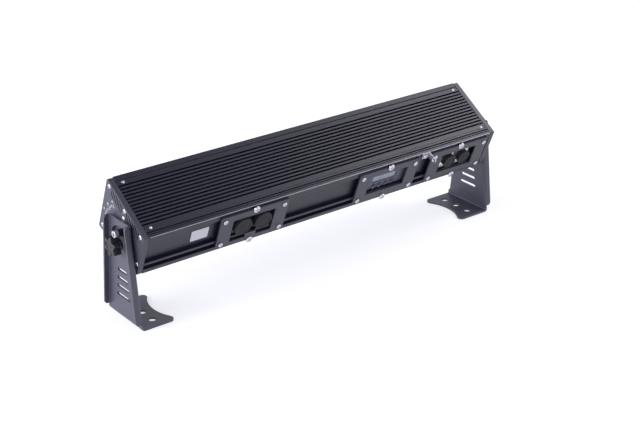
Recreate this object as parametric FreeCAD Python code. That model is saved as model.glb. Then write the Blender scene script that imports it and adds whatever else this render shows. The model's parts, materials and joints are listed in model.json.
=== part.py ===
import FreeCAD, Part
import math
import os

# Outdoor wall washer light: a finned bar that tilts between two folded brackets.
# Units are millimetres and degrees. +X runs along the bar, -Y looks out of the
# connector side and +Z is up. The feet stand on z = 0 and the origin is at the
# centre of the footprint of the whole light.
#
# The bar's section is drawn about the tilt axis with the light face straight
# down. It is then turned by rest_tilt and lifted to pivot_height.

# ---------------------------------------------------------------------------
# Driving dimensions
# ---------------------------------------------------------------------------

# Bar section, measured from the tilt axis
bar_length = 636.0
front_reach = 43.0
rear_reach = 61.5
light_drop = 22.0
front_rise = 45.0
rear_rise = 65.0
rest_tilt = 22.0
pivot_height = 116.0

# Bar ends
end_plate_thickness = 8.0
end_gasket_thickness = 1.0
end_plate_corner = 2.0

# Finned side
fin_gap_count = 13
fin_pitch = 5.61
fin_gap = 2.9
fin_depth = 16.0
first_gap_from_front = 21.5
roof_thickness = 5.0
fin_boss_radius = 2.6
lip_groove_from_front = 4.4
lip_groove_width = 1.4
lip_groove_depth = 1.5
ledge_groove_from_front = 7.4
ledge_groove_width = 2.0
ledge_groove_depth = 3.0
ledge_line_from_front = 12.2
ledge_line_width = 0.6
ledge_line_depth = 0.6
rear_groove_from_front = 97.0
rear_groove_width = 1.8
rear_groove_depth = 1.0

# Connector side, from its upper edge downwards
upper_rail_height = 9.4
channel_height = 34.6
channel_depth = 5.0
step_groove_height = 4.4
step_groove_depth = 7.0
rib_height = 4.0
deep_groove_height = 8.0
deep_groove_depth = 6.0

# Rear side
rear_line_heights = (8.0, 30.0)
rear_line_width = 3.0
rear_line_depth = 1.2

# Chambers inside the bar
channel_wall = 4.0
web_thickness = 3.0
rear_wall = 4.5
light_wall_front = 13.5
light_wall_rear = 15.0
glass_margin = 4.0
glass_thickness = 4.0
glass_gasket_thickness = 1.0
bezel_thickness = 2.0
bezel_overlap = 3.0
bezel_end_border = 10.0

# Light engine
led_columns = 12
led_end_margin = 37.0
led_board_thickness = 1.6
led_board_border = 2.5
emitter_size = 3.5
emitter_height = 1.2
emitter_dome_radius = 1.5
lens_gap = 4.0
lens_rim_thickness = 1.2
lens_neck_radius = 6.0
lens_holder_thickness = 1.0
holder_post_radius = 2.5

# Power supply, boards and their standoffs
supply_length = 150.0
supply_depth = 52.0
supply_center_x = -25.0
supply_cover = 1.2
board_length = 130.0
board_depth = 46.0
board_center_x = 215.0
board_thickness = 1.6
standoff_radius = 2.5
standoff_height = 6.0
board_inset = 6.0
chip_size = 10.0
chip_height = 1.6
capacitor_radius = 4.0
capacitor_height = 8.0
header_length = 40.0
header_depth = 6.0
header_height = 6.0
display_board_length = 74.0
display_board_gap = 4.0

# Plates on the connector side
plate_thickness = 3.0
plate_overlap = 4.6
plate_corner_radius = 1.5
power_plate_x = -138.0
data_plate_end_margin = 5.0
data_plate_gap = 25.5
corner_screw_span = 100.0
plate_side_margin = 7.5
plate_lower_margin = 4.6
upper_screw_drop = 3.2
lower_screw_drop = 3.0
spacer_radius = 2.8
window_corner_radius = 1.0
power_window_length = 71.4
power_window_height = 40.0
power_window_drop = 15.6
power_tab_length = 18.0
power_tab_height = 7.0
display_window_length = 72.7
display_window_height = 33.6
display_window_drop = 15.0
data_window_length = 70.6
data_window_height = 35.0
data_window_drop = 14.6

# Square-flanged connectors
flange_width = 26.0
flange_height = 31.0
flange_thickness = 2.2
flange_corner = 3.0
flange_screw_x = 19.0
flange_screw_z = 24.0
connector_drop = 31.5
connector_barrel_radius = 11.6
connector_barrel_depth = 22.0
power_connector_pitch = 34.0
power_collar_radius = 12.5
power_collar_height = 5.0
power_cap_radius = 14.5
power_cap_height = 8.0
data_connector_pitch = 29.0
data_collar_radius = 10.2
data_collar_height = 5.0
data_cap_radius = 12.0
data_cap_height = 8.0
collar_wall = 2.0
contact_radius = 1.2
contact_length = 4.0
power_contacts = 3
data_contacts = 5
contact_circle_radius = 5.0

# Menu display
panel_length = 84.0
panel_height = 34.0
panel_thickness = 1.2
panel_drop = 12.8
screen_length = 45.7
screen_height = 12.6
screen_drop = 29.0
screen_window_border = 2.2
screen_window_thickness = 1.0
button_count = 4
button_pitch = 11.4
button_drop = 41.2
button_radius = 3.0
button_proud = 1.5
button_travel = 1.0
button_collar_radius = 3.8
button_collar_thickness = 0.8
switch_size = 6.0
cutout_border = 3.0

# Safety eye, blank plate and vent
eye_plate_gap = 9.0
eye_thickness = 3.0
eye_reach = 18.0
eye_hole_radius = 3.0
eye_foot_length = 12.0
eye_foot_thickness = 2.0
eye_height = 8.4
blank_length = 28.0
blank_height = 19.0
blank_thickness = 0.5
blank_center_x = -222.5
blank_drop = 29.3
vent_x = -250.0
vent_height = 20.0
vent_cap_radius = 8.0
vent_cap_thickness = 4.0
vent_stem_radius = 5.0
vent_notch_radius = 1.2
vent_notches = 8

# Screws
small_shank_radius = 1.5
small_head_radius = 3.6
small_head_height = 2.2
end_head_proud = 1.0
end_recess_depth = 1.6
end_screw_length = 20.0
edge_head_radius = 5.3
edge_head_height = 2.6
edge_shoulder_radius = 2.6
edge_screw_bite = 6.5
corner_screw_bite = 3.0
flange_head_radius = 2.6
flange_head_height = 1.0
flange_screw_bite = 2.6
bezel_screw_count = 7
bezel_screw_end_inset = 21.0
bezel_screw_bite = 3.2
bezel_head_radius = 2.6
bezel_head_depth = 1.2
fin_screw_radius = 1.2
fin_screw_head_radius = 2.3
fin_screw_head_height = 1.0
fin_screw_bite = 2.4
fin_screw_end_inset = 9.0
fin_screw_front = 14.6
fin_screw_rear = 94.0

# End plate screw places: three along the fin edge, then single ones
fin_edge_screw_places = (8.0, 53.0, 97.0)
fin_edge_screw_inset = 6.0
rear_low_screw_inset = 8.0
front_low_screw_y_inset = 5.5
roof_screw_y = 9.4

# Comb slots in the end plates
comb_pitch = 4.1
comb_width = 1.75
comb_length = 14.0
comb_inset = 2.0
comb_border = 6.0

# Brackets
bracket_top_above_pivot = 35.0
bracket_top_half_width = 28.3
bracket_foot_half_width = 44.8
sheet_thickness = 3.0
bend_inner_radius = 1.5
side_flange_depth = 11.0
side_flange_foot_gap = 9.5
side_flange_corner = 5.0
foot_short_length = 52.5
foot_long_length = 57.0
foot_scallop_length = 43.8
foot_scallop_shift = 3.5
foot_corner_radius = 5.0
foot_hole_radius = 5.5
foot_hole_reach = 27.0
foot_hole_pitch = 26.5
foot_hole_count = 3
leg_slot_heights = (35.0, 48.2, 61.3, 74.5)
leg_slot_lengths = (36.0, 32.0, 28.0, 24.0)
leg_slot_width = 4.8
leg_gap = 1.5

# Tilt hardware
stud_radius = 4.0
stud_bite = 7.0
knob_radius = 15.0
knob_lobes = 6
knob_lobe_radius = 3.6
knob_hub_radius = 9.0
knob_hub_height = 3.0
knob_height = 15.0
knob_socket_depth = 9.0
friction_washer_radius = 15.0
knob_washer_radius = 12.0
knob_washer_thickness = 1.5
guide_circle_radius = 22.0
guide_shank_radius = 3.0
guide_head_radius = 5.0
guide_head_height = 6.0
guide_socket_radius = 2.6
guide_socket_depth = 3.0
guide_sleeve_radius = 5.4
guide_sleeve_length = 7.5
guide_bite = 6.5
guide_slot_width = 7.0
tilt_each_way = 50.0

# Clearances
turning_gap = 0.05
screw_gap = 0.05
fit_gap = 0.2
body_gap = 0.3
seal_gap = 0.1

# ---------------------------------------------------------------------------
# Lines that several pieces share
# ---------------------------------------------------------------------------

end_plate_outer_x = bar_length / 2
end_plate_inner_x = end_plate_outer_x - end_plate_thickness
housing_end_x = end_plate_inner_x - end_gasket_thickness

face_slope = math.atan2(rear_rise - front_rise, front_reach + rear_reach)
face_length = math.hypot(rear_rise - front_rise, front_reach + rear_reach)

rail_face_y = -front_reach
channel_floor_y = rail_face_y + channel_depth
chamber_front_y = channel_floor_y + channel_wall
chamber_rear_y = rear_reach - rear_wall
plate_face_y = rail_face_y - plate_thickness

channel_top_z = front_rise - upper_rail_height
channel_bottom_z = channel_top_z - channel_height
rib_top_z = channel_bottom_z - step_groove_height
rib_bottom_z = rib_top_z - rib_height
lower_rail_top_z = rib_bottom_z - deep_groove_height
light_face_z = -light_drop
housing_bottom_z = light_face_z + bezel_thickness
lower_rail_mid_z = (lower_rail_top_z + housing_bottom_z) / 2
web_bottom_z = channel_bottom_z - web_thickness
glass_top_z = housing_bottom_z + glass_thickness
light_ledge_z = glass_top_z + glass_gasket_thickness
light_front_y = rail_face_y + light_wall_front
light_rear_y = rear_reach - light_wall_rear
light_mid_y = (light_front_y + light_rear_y) / 2
led_board_half_x = housing_end_x - led_board_border
led_pitch_x = 2 * (led_board_half_x - led_end_margin) / (led_columns - 1)
led_rows_spacing = (light_rear_y - light_front_y) / 2
lens_radius = (led_rows_spacing - lens_gap) / 2

flange_face_y = channel_floor_y - flange_thickness
connector_z = front_rise - connector_drop
plate_top_z = channel_top_z + plate_overlap
upper_screw_z = channel_top_z - upper_screw_drop
lower_screw_z = rib_bottom_z - lower_screw_drop
plate_bottom_z = lower_screw_z - plate_lower_margin
plate_mid_z = (plate_top_z + plate_bottom_z) / 2
plate_height = plate_top_z - plate_bottom_z
plate_length = corner_screw_span + 2 * plate_side_margin
data_plate_x = housing_end_x - data_plate_end_margin - plate_length / 2
display_plate_x = data_plate_x - plate_length - data_plate_gap
eye_x = data_plate_x - plate_length / 2 - eye_plate_gap
upper_edge_screw_z = plate_top_z
lower_edge_screw_z = lower_rail_mid_z

bracket_height = pivot_height + bracket_top_above_pivot
leg_inner_x = end_plate_outer_x + leg_gap
leg_outer_x = leg_inner_x + sheet_thickness
knob_washer_outer_x = leg_outer_x + knob_washer_thickness
knob_inner_x = knob_washer_outer_x + fit_gap
guide_sleeve_inner_x = leg_outer_x + body_gap
guide_head_inner_x = guide_sleeve_inner_x + guide_sleeve_length

origin = FreeCAD.Vector(0, 0, 0)
along_x = FreeCAD.Vector(1, 0, 0)
along_y = FreeCAD.Vector(0, 1, 0)
along_z = FreeCAD.Vector(0, 0, 1)


# ---------------------------------------------------------------------------
# Basic shapes
# ---------------------------------------------------------------------------

def block(x_range, y_range, z_range):
    """Box between three pairs of limits."""
    corner = FreeCAD.Vector(x_range[0], y_range[0], z_range[0])
    size_x = x_range[1] - x_range[0]
    size_y = y_range[1] - y_range[0]
    size_z = z_range[1] - z_range[0]
    return Part.makeBox(size_x, size_y, size_z, corner)


def rod_x(y, z, radius, x_from, x_to):
    """Cylinder along X."""
    return Part.makeCylinder(radius, x_to - x_from, FreeCAD.Vector(x_from, y, z), along_x)


def rod_y(x, z, radius, y_from, y_to):
    """Cylinder along Y."""
    return Part.makeCylinder(radius, y_to - y_from, FreeCAD.Vector(x, y_from, z), along_y)


def rod_z(x, y, radius, z_from, z_to):
    """Cylinder along Z."""
    return Part.makeCylinder(radius, z_to - z_from, FreeCAD.Vector(x, y, z_from), along_z)


def prism_x(outline, x_from, x_to):
    """Solid along X over an outline of (y, z) points."""
    points = [FreeCAD.Vector(x_from, y, z) for y, z in outline]
    face = Part.Face(Part.makePolygon(points + [points[0]]))
    return face.extrude(FreeCAD.Vector(x_to - x_from, 0, 0))


def rounded_plate_y(center_x, center_z, length, height, y_range, radius):
    """Upright plate, thin along Y, with rounded corners."""
    plate = block((center_x - length / 2, center_x + length / 2), y_range,
                  (center_z - height / 2, center_z + height / 2))
    corners = [edge for edge in plate.Edges if abs(edge.tangentAt(edge.FirstParameter).y) > 0.99]
    return plate.makeFillet(radius, corners)


def slot_along_y(y_length, width, y, z, x_from, x_to):
    """Round-ended cutter through the thickness along X, long in Y."""
    half = (y_length - width) / 2
    bar = block((x_from, x_to), (y - half, y + half), (z - width / 2, z + width / 2))
    ends = [rod_x(y + side * half, z, width / 2, x_from, x_to) for side in (-1, 1)]
    return bar.fuse(ends)


def group(solids):
    """Several separate solids as one named piece."""
    return Part.makeCompound(solids)


def mirrored(shape):
    """The same piece on the other end of the bar."""
    return shape.mirror(origin, along_x)


def face_z(y):
    """Height of the fin face at a given y."""
    return front_rise + (y + front_reach) * math.tan(face_slope)


def face_point(along, inset=0.0):
    """Point at a distance along the fin face from its front edge, set in below it."""
    y = -front_reach + along * math.cos(face_slope) + inset * math.sin(face_slope)
    z = front_rise + along * math.sin(face_slope) - inset * math.cos(face_slope)
    return y, z


def roof_z(y):
    """Underside of the roof below the fins."""
    return face_z(y) - fin_depth - roof_thickness


def body_outline(bottom_z, inset=0.0):
    """Section of the bar down to a given height, as (y, z) points."""
    front = -front_reach + inset
    rear = rear_reach - inset
    return [(front, bottom_z), (rear, bottom_z), (rear, face_z(rear) - inset),
            (front, face_z(front) - inset)]


# ---------------------------------------------------------------------------
# Housing
# ---------------------------------------------------------------------------

def face_groove(along, width, depth):
    """Groove along the whole fin face, straight down into the section."""
    y_front = face_point(along - width / 2)[0]
    y_rear = face_point(along + width / 2)[0]
    floor_z = face_z((y_front + y_rear) / 2) - depth
    return block((-housing_end_x, housing_end_x), (y_front, y_rear), (floor_z, face_z(y_rear) + depth))


def fin_side_cutters():
    """Fin gaps and the small grooves beside them."""
    cutters = []
    for index in range(fin_gap_count):
        cutters.append(face_groove(first_gap_from_front + index * fin_pitch, fin_gap, fin_depth))
    cutters.append(face_groove(lip_groove_from_front + lip_groove_width / 2, lip_groove_width,
                               lip_groove_depth))
    cutters.append(face_groove(ledge_groove_from_front + ledge_groove_width / 2,
                               ledge_groove_width, ledge_groove_depth))
    cutters.append(face_groove(ledge_line_from_front + ledge_line_width / 2, ledge_line_width,
                               ledge_line_depth))
    cutters.append(face_groove(rear_groove_from_front + rear_groove_width / 2,
                               rear_groove_width, rear_groove_depth))
    return cutters


def side_cutters():
    """Channel and grooves of the connector side, and the lines of the rear side."""
    whole = (-housing_end_x, housing_end_x)
    outside_y = rail_face_y - 1
    cutters = [
        block(whole, (outside_y, channel_floor_y), (channel_bottom_z, channel_top_z)),
        block(whole, (outside_y, rail_face_y + step_groove_depth), (rib_top_z, channel_bottom_z)),
        block(whole, (outside_y, rail_face_y + deep_groove_depth), (lower_rail_top_z, rib_bottom_z)),
    ]
    for height in rear_line_heights:
        cutters.append(block(whole, (rear_reach - rear_line_depth, rear_reach + 1),
                             (height - rear_line_width / 2, height + rear_line_width / 2)))
    return cutters


def upper_chamber_outline(grow=0.0):
    """Section of the chamber for the electronics."""
    front = chamber_front_y - grow
    rear = chamber_rear_y + grow
    return [(front, channel_bottom_z - grow), (rear, channel_bottom_z - grow),
            (rear, roof_z(chamber_rear_y) + grow), (front, roof_z(chamber_front_y) + grow)]


def light_chamber_outline(grow=0.0):
    """Section of the chamber for the light engine."""
    return [(light_front_y - grow, light_ledge_z), (light_rear_y + grow, light_ledge_z),
            (light_rear_y + grow, web_bottom_z + grow), (light_front_y - grow, web_bottom_z + grow)]


def chamber_cutters():
    """Electronics chamber, light chamber and the rebate for the glass."""
    rebate = block((-housing_end_x, housing_end_x),
                   (light_front_y - glass_margin, light_rear_y + glass_margin),
                   (housing_bottom_z - 1, light_ledge_z))
    return [
        prism_x(upper_chamber_outline(), -housing_end_x, housing_end_x),
        prism_x(light_chamber_outline(), -housing_end_x, housing_end_x),
        rebate,
    ]


def connector_places():
    """Name, x and kind of the four round connectors."""
    places = []
    for name, side in (("inlet", -1), ("outlet", 1)):
        places.append(("power_" + name, power_plate_x + side * power_connector_pitch / 2, "power"))
    for name, side in (("input", -1), ("output", 1)):
        places.append(("data_" + name, data_plate_x + side * data_connector_pitch / 2, "data"))
    return places


def flange_screw_places(x):
    """The two screws of one connector flange, on its falling diagonal."""
    return [(x - flange_screw_x / 2, connector_z + flange_screw_z / 2),
            (x + flange_screw_x / 2, connector_z - flange_screw_z / 2)]


def connector_cutters():
    """Barrel bores and flange screw holes."""
    cutters = []
    for _, x, _ in connector_places():
        cutters.append(rod_y(x, connector_z, connector_barrel_radius + fit_gap,
                             channel_floor_y - 1, channel_floor_y + connector_barrel_depth + body_gap))
        for screw_x, screw_z in flange_screw_places(x):
            cutters.append(rod_y(screw_x, screw_z, small_shank_radius + screw_gap,
                                 channel_floor_y - 1, channel_floor_y + flange_screw_bite + body_gap))
    return cutters


def display_cutout():
    """Opening in the channel wall behind the menu panel."""
    half = screen_length / 2 + screen_window_border + cutout_border
    top = front_rise - screen_drop + screen_height / 2 + screen_window_border + body_gap
    bottom = front_rise - button_drop - button_collar_radius - body_gap
    return block((display_plate_x - half, display_plate_x + half),
                 (channel_floor_y - 1, chamber_front_y + body_gap), (bottom, top))


def plate_centers():
    """X of the three connector-side plates."""
    return (power_plate_x, display_plate_x, data_plate_x)


def corner_screw_places():
    """Corner screws of all plates as (x, z, y of the floor they stand on)."""
    places = []
    for center in plate_centers():
        for side in (-1, 1):
            x = center + side * corner_screw_span / 2
            places.append((x, upper_screw_z, channel_floor_y))
            places.append((x, lower_screw_z, rail_face_y + deep_groove_depth))
    return places


def edge_screw_places():
    """Large screws that straddle the long edges of the plates."""
    places = []
    for center in plate_centers():
        places.append((center, upper_edge_screw_z))
        places.append((center, lower_edge_screw_z))
    return places


def plate_screw_cutters():
    """Holes for corner screws, edge screws and the safety eye's screw."""
    cutters = []
    for x, z, floor_y in corner_screw_places():
        cutters.append(rod_y(x, z, small_shank_radius + screw_gap, floor_y - 1,
                             floor_y + corner_screw_bite + body_gap))
    for x, z in edge_screw_places() + [eye_screw_place()]:
        cutters.append(rod_y(x, z, small_shank_radius + screw_gap, rail_face_y - 1,
                             rail_face_y + edge_screw_bite + body_gap))
    return cutters


def end_screw_places():
    """End plate screws as (y, z) in the bar's section."""
    places = [face_point(along, fin_edge_screw_inset) for along in fin_edge_screw_places]
    places.append((rear_reach - rear_low_screw_inset, light_face_z + rear_low_screw_inset))
    places.append((rail_face_y + front_low_screw_y_inset, (rib_top_z + rib_bottom_z) / 2))
    places.append((roof_screw_y, roof_z(roof_screw_y) + roof_thickness / 2))
    return places


def end_screw_cutters():
    """Screw holes in both ends of the housing."""
    cutters = []
    depth = end_screw_length - end_plate_thickness
    for y, z in end_screw_places():
        for side in (-1, 1):
            inner = side * (housing_end_x - depth)
            outer = side * (housing_end_x + 1)
            cutters.append(rod_x(y, z, small_shank_radius + screw_gap, min(inner, outer),
                                 max(inner, outer)))
    return cutters


def bezel_screw_places():
    """Bezel screws as (x, y) along both long edges."""
    front_y = rail_face_y + (light_wall_front - glass_margin) / 2
    rear_y = rear_reach - (light_wall_rear - glass_margin) / 2
    last = housing_end_x - bezel_screw_end_inset
    places = []
    for index in range(bezel_screw_count):
        x = -last + 2 * last * index / (bezel_screw_count - 1)
        places.append((x, front_y))
        places.append((x, rear_y))
    return places


def bezel_screw_cutters():
    """Screw holes for the bezel in the underside of the housing."""
    top = housing_bottom_z + bezel_screw_bite + body_gap
    return [rod_z(x, y, small_shank_radius + screw_gap, housing_bottom_z - 1, top)
            for x, y in bezel_screw_places()]


def fin_screw_places():
    """Small screws near the four corners of the fin face, as (x, along)."""
    x = housing_end_x - fin_screw_end_inset
    return [(side * x, along) for side in (-1, 1) for along in (fin_screw_front, fin_screw_rear)]


def square_to_face(shape, x, along):
    """Turn a piece drawn about z = 0 so that it stands square on the fin face."""
    turned = shape.copy()
    turned.rotate(origin, along_x, math.degrees(face_slope))
    y, z = face_point(along)
    turned.translate(FreeCAD.Vector(x, y, z))
    return turned


def fin_screw_cutters():
    """Holes for the small fin face screws."""
    hole = rod_z(0, 0, fin_screw_radius + screw_gap, -fin_screw_bite - body_gap, 1)
    return [square_to_face(hole, x, along) for x, along in fin_screw_places()]


def vent_cutter():
    """Hole for the pressure vent through the rear wall."""
    return rod_y(vent_x, vent_height, vent_stem_radius + fit_gap, chamber_rear_y - 1, rear_reach + 1)


def make_housing():
    """Extruded bar with fins, channel, chambers and all its holes."""
    body = prism_x(body_outline(housing_bottom_z), -housing_end_x, housing_end_x)
    body = body.cut(fin_side_cutters() + side_cutters() + chamber_cutters())
    boss_y, boss_z = end_screw_places()[1]
    body = body.fuse(rod_x(boss_y, boss_z, fin_boss_radius, -housing_end_x, housing_end_x))
    cutters = connector_cutters() + plate_screw_cutters() + end_screw_cutters()
    cutters += bezel_screw_cutters() + fin_screw_cutters() + [display_cutout(), vent_cutter()]
    return body.cut(cutters).removeSplitter()


# ---------------------------------------------------------------------------
# Bar ends (drawn for the left end, mirrored for the right)
# ---------------------------------------------------------------------------

def comb_slot(along):
    """Cutter for one comb slot near the fin edge."""
    y, top_z = face_point(along, comb_inset)
    bottom_z = top_z - comb_length
    half = comb_width / 2
    slot = block((-end_plate_outer_x - 1, -end_plate_inner_x + 1), (y - half, y + half),
                 (bottom_z + half, top_z - half))
    ends = [rod_x(y, bottom_z + half, half, -end_plate_outer_x - 1, -end_plate_inner_x + 1),
            rod_x(y, top_z - half, half, -end_plate_outer_x - 1, -end_plate_inner_x + 1)]
    return slot.fuse(ends)


def comb_cutters():
    """Comb slots between each pair of fin edge screws."""
    cutters = []
    for start, end in zip(fin_edge_screw_places[:-1], fin_edge_screw_places[1:]):
        span = end - start - 2 * comb_border
        count = int(span // comb_pitch) + 1
        first = (start + end) / 2 - (count - 1) * comb_pitch / 2
        cutters += [comb_slot(first + index * comb_pitch) for index in range(count)]
    return cutters


def make_end_plate():
    """Left end plate."""
    plate = prism_x(body_outline(light_face_z), -end_plate_outer_x, -end_plate_inner_x)
    corners = [edge for edge in plate.Edges if abs(edge.tangentAt(edge.FirstParameter).x) > 0.99]
    plate = plate.makeFillet(end_plate_corner, corners)
    cutters = comb_cutters()
    for y, z in end_screw_places():
        cutters.append(rod_x(y, z, small_shank_radius + fit_gap, -end_plate_outer_x - 1,
                             -end_plate_inner_x + 1))
        cutters.append(rod_x(y, z, small_head_radius + 2 * fit_gap, -end_plate_outer_x - 1,
                             -end_plate_outer_x + end_recess_depth))
    cutters.append(rod_x(0, 0, stud_radius + turning_gap, -end_plate_outer_x - 1,
                         -end_plate_outer_x + stud_bite + body_gap))
    cutters.append(rod_x(0, guide_circle_radius, guide_shank_radius + screw_gap,
                         -end_plate_outer_x - 1, -end_plate_outer_x + guide_bite + body_gap))
    return plate.cut(cutters)


def make_end_gasket():
    """Left end gasket: a flat seal round the two chambers, below the fins."""
    border = channel_wall / 2
    front = chamber_front_y - border / 2
    rear = rear_reach - seal_gap
    top_drop = fin_depth + seal_gap
    outline = [(front, housing_bottom_z + seal_gap), (rear, housing_bottom_z + seal_gap),
               (rear, face_z(rear) - top_drop), (front, face_z(front) - top_drop)]
    sheet = prism_x(outline, -end_plate_inner_x, -housing_end_x)
    cutters = [
        prism_x(upper_chamber_outline(), -end_plate_inner_x - 1, -housing_end_x + 1),
        prism_x(light_chamber_outline(), -end_plate_inner_x - 1, -housing_end_x + 1),
    ]
    for y, z in end_screw_places():
        cutters.append(rod_x(y, z, small_shank_radius + fit_gap, -end_plate_inner_x - 1,
                             -housing_end_x + 1))
    return sheet.cut(cutters)


def end_screw(y, z):
    """Pan-head screw in a recess of the left end plate."""
    head_outer = -end_plate_outer_x - end_head_proud
    head_inner = -end_plate_outer_x + end_recess_depth
    shank_end = head_inner + end_screw_length - end_recess_depth - body_gap
    head = rod_x(y, z, small_head_radius, head_outer, head_inner)
    shank = rod_x(y, z, small_shank_radius, head_inner, shank_end)
    socket = Part.makeCylinder(small_shank_radius, end_head_proud,
                               FreeCAD.Vector(head_outer, y, z), along_x)
    return head.fuse(shank).cut(socket)


def make_end_plate_screws():
    """All end plate screws of both ends."""
    left = [end_screw(y, z) for y, z in end_screw_places()]
    return group(left + [mirrored(screw) for screw in left])


# ---------------------------------------------------------------------------
# Light window and light engine
# ---------------------------------------------------------------------------

def make_glass():
    """Clear window in the rebate under the light chamber."""
    half_x = housing_end_x - body_gap
    return block((-half_x, half_x),
                 (light_front_y - glass_margin + body_gap, light_rear_y + glass_margin - body_gap),
                 (housing_bottom_z, glass_top_z))


def make_glass_gasket():
    """Frame-shaped seal between the glass and the housing ledge."""
    half_x = housing_end_x - body_gap
    outer = block((-half_x, half_x),
                  (light_front_y - glass_margin + body_gap, light_rear_y + glass_margin - body_gap),
                  (glass_top_z, light_ledge_z))
    inner = block((-half_x + glass_margin, half_x - glass_margin), (light_front_y, light_rear_y),
                  (glass_top_z - 1, light_ledge_z + 1))
    return outer.cut(inner)


def make_bezel():
    """Frame that holds the glass from below."""
    half_x = end_plate_inner_x - fit_gap
    frame = block((-half_x, half_x), (-front_reach, rear_reach), (light_face_z, housing_bottom_z))
    opening_x = half_x - bezel_end_border
    opening = block((-opening_x, opening_x),
                    (light_front_y - glass_margin + bezel_overlap,
                     light_rear_y + glass_margin - bezel_overlap),
                    (light_face_z - 1, housing_bottom_z + 1))
    cutters = [opening]
    for x, y in bezel_screw_places():
        cutters.append(rod_z(x, y, small_shank_radius + fit_gap, light_face_z - 1,
                             housing_bottom_z + 1))
        cutters.append(rod_z(x, y, bezel_head_radius + fit_gap, light_face_z - 1,
                             light_face_z + bezel_head_depth))
    return frame.cut(cutters)


def make_bezel_screws():
    """Screws of the bezel, heads level with the light face."""
    screws = []
    for x, y in bezel_screw_places():
        head = rod_z(x, y, bezel_head_radius, light_face_z, light_face_z + bezel_head_depth)
        shank = rod_z(x, y, small_shank_radius, light_face_z + bezel_head_depth,
                      housing_bottom_z + bezel_screw_bite)
        screws.append(head.fuse(shank))
    return group(screws)


def led_places():
    """Centres of the emitters as (x, y)."""
    first = -(led_columns - 1) * led_pitch_x / 2
    rows = (light_mid_y - led_rows_spacing / 2, light_mid_y + led_rows_spacing / 2)
    return [(first + column * led_pitch_x, y) for column in range(led_columns) for y in rows]


def make_led_board():
    """Metal-core board under the web."""
    return block((-led_board_half_x, led_board_half_x),
                 (light_front_y + led_board_border, light_rear_y - led_board_border),
                 (web_bottom_z - led_board_thickness, web_bottom_z))


def make_led_emitters():
    """Square emitters with a dome, facing down."""
    top = web_bottom_z - led_board_thickness
    half = emitter_size / 2
    emitters = []
    for x, y in led_places():
        base = block((x - half, x + half), (y - half, y + half), (top - emitter_height, top))
        dome = Part.makeSphere(emitter_dome_radius, FreeCAD.Vector(x, y, top - emitter_height))
        emitters.append(base.fuse(dome.common(block((x - half, x + half), (y - half, y + half),
                                                    (top - emitter_height - half, top)))))
    return group(emitters)


def holder_top_z():
    """Upper face of the lens holder plate."""
    return light_ledge_z + body_gap + lens_holder_thickness


def make_lenses():
    """Collimating lenses whose rims sit on the holder."""
    neck_z = web_bottom_z - led_board_thickness - emitter_height - emitter_dome_radius - body_gap
    rim_z = holder_top_z()
    lenses = []
    for x, y in led_places():
        rim = rod_z(x, y, lens_radius, rim_z, rim_z + lens_rim_thickness)
        height = neck_z - rim_z - lens_rim_thickness
        cone = Part.makeCone(lens_radius - lens_rim_thickness, lens_neck_radius, height,
                             FreeCAD.Vector(x, y, rim_z + lens_rim_thickness), along_z)
        lenses.append(rim.fuse(cone))
    return group(lenses)


def make_lens_holder():
    """Plate with an opening under each lens and posts up to the board."""
    top = holder_top_z()
    plate = block((-led_board_half_x, led_board_half_x),
                  (light_front_y + body_gap, light_rear_y - body_gap),
                  (top - lens_holder_thickness, top))
    openings = [rod_z(x, y, lens_radius - lens_rim_thickness, top - lens_holder_thickness - 1, top + 1)
                for x, y in led_places()]
    board_bottom = web_bottom_z - led_board_thickness
    first = -(led_columns - 2) * led_pitch_x / 2
    posts = []
    for index in range(0, led_columns - 1, 2):
        x = first + index * led_pitch_x
        posts.append(rod_z(x, light_mid_y, holder_post_radius, top - lens_holder_thickness,
                           board_bottom))
    return plate.cut(openings).fuse(posts)


# ---------------------------------------------------------------------------
# Electronics
# ---------------------------------------------------------------------------

def chamber_mid_y():
    """Middle of the room behind the connector barrels."""
    return (channel_floor_y + connector_barrel_depth + chamber_rear_y) / 2


def make_power_supply():
    """Closed metal case with a folded cover line and a terminal block."""
    half_x = supply_length / 2
    front = chamber_mid_y() - supply_depth / 2
    rear = front + supply_depth
    floor = channel_bottom_z
    top = roof_z(front) - fit_gap - supply_cover
    case = block((supply_center_x - half_x, supply_center_x + half_x), (front, rear), (floor, top))
    cover = block((supply_center_x - half_x + supply_cover, supply_center_x + half_x - supply_cover),
                  (front + supply_cover, rear - supply_cover), (top, top + supply_cover))
    ears = []
    for side in (-1, 1):
        inner = supply_center_x + side * half_x
        outer = inner + side * board_inset * 2
        ear = block((min(inner, outer), max(inner, outer)), (front + board_inset, rear - board_inset),
                    (floor, floor + supply_cover))
        hole = rod_z((inner + outer) / 2, (front + rear) / 2, small_shank_radius, floor - 1,
                     floor + supply_cover + 1)
        ears.append(ear.cut(hole))
    return case.fuse([cover] + ears)


def board_corner_places():
    """Standoffs of the control board."""
    places = []
    for side_x in (-1, 1):
        for side_y in (-1, 1):
            x = board_center_x + side_x * (board_length / 2 - board_inset)
            y = chamber_mid_y() + side_y * (board_depth / 2 - board_inset)
            places.append((x, y))
    return places


def make_board_standoffs():
    """Round standoffs between the web and the control board."""
    return group([rod_z(x, y, standoff_radius, channel_bottom_z, channel_bottom_z + standoff_height)
                  for x, y in board_corner_places()])


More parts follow.
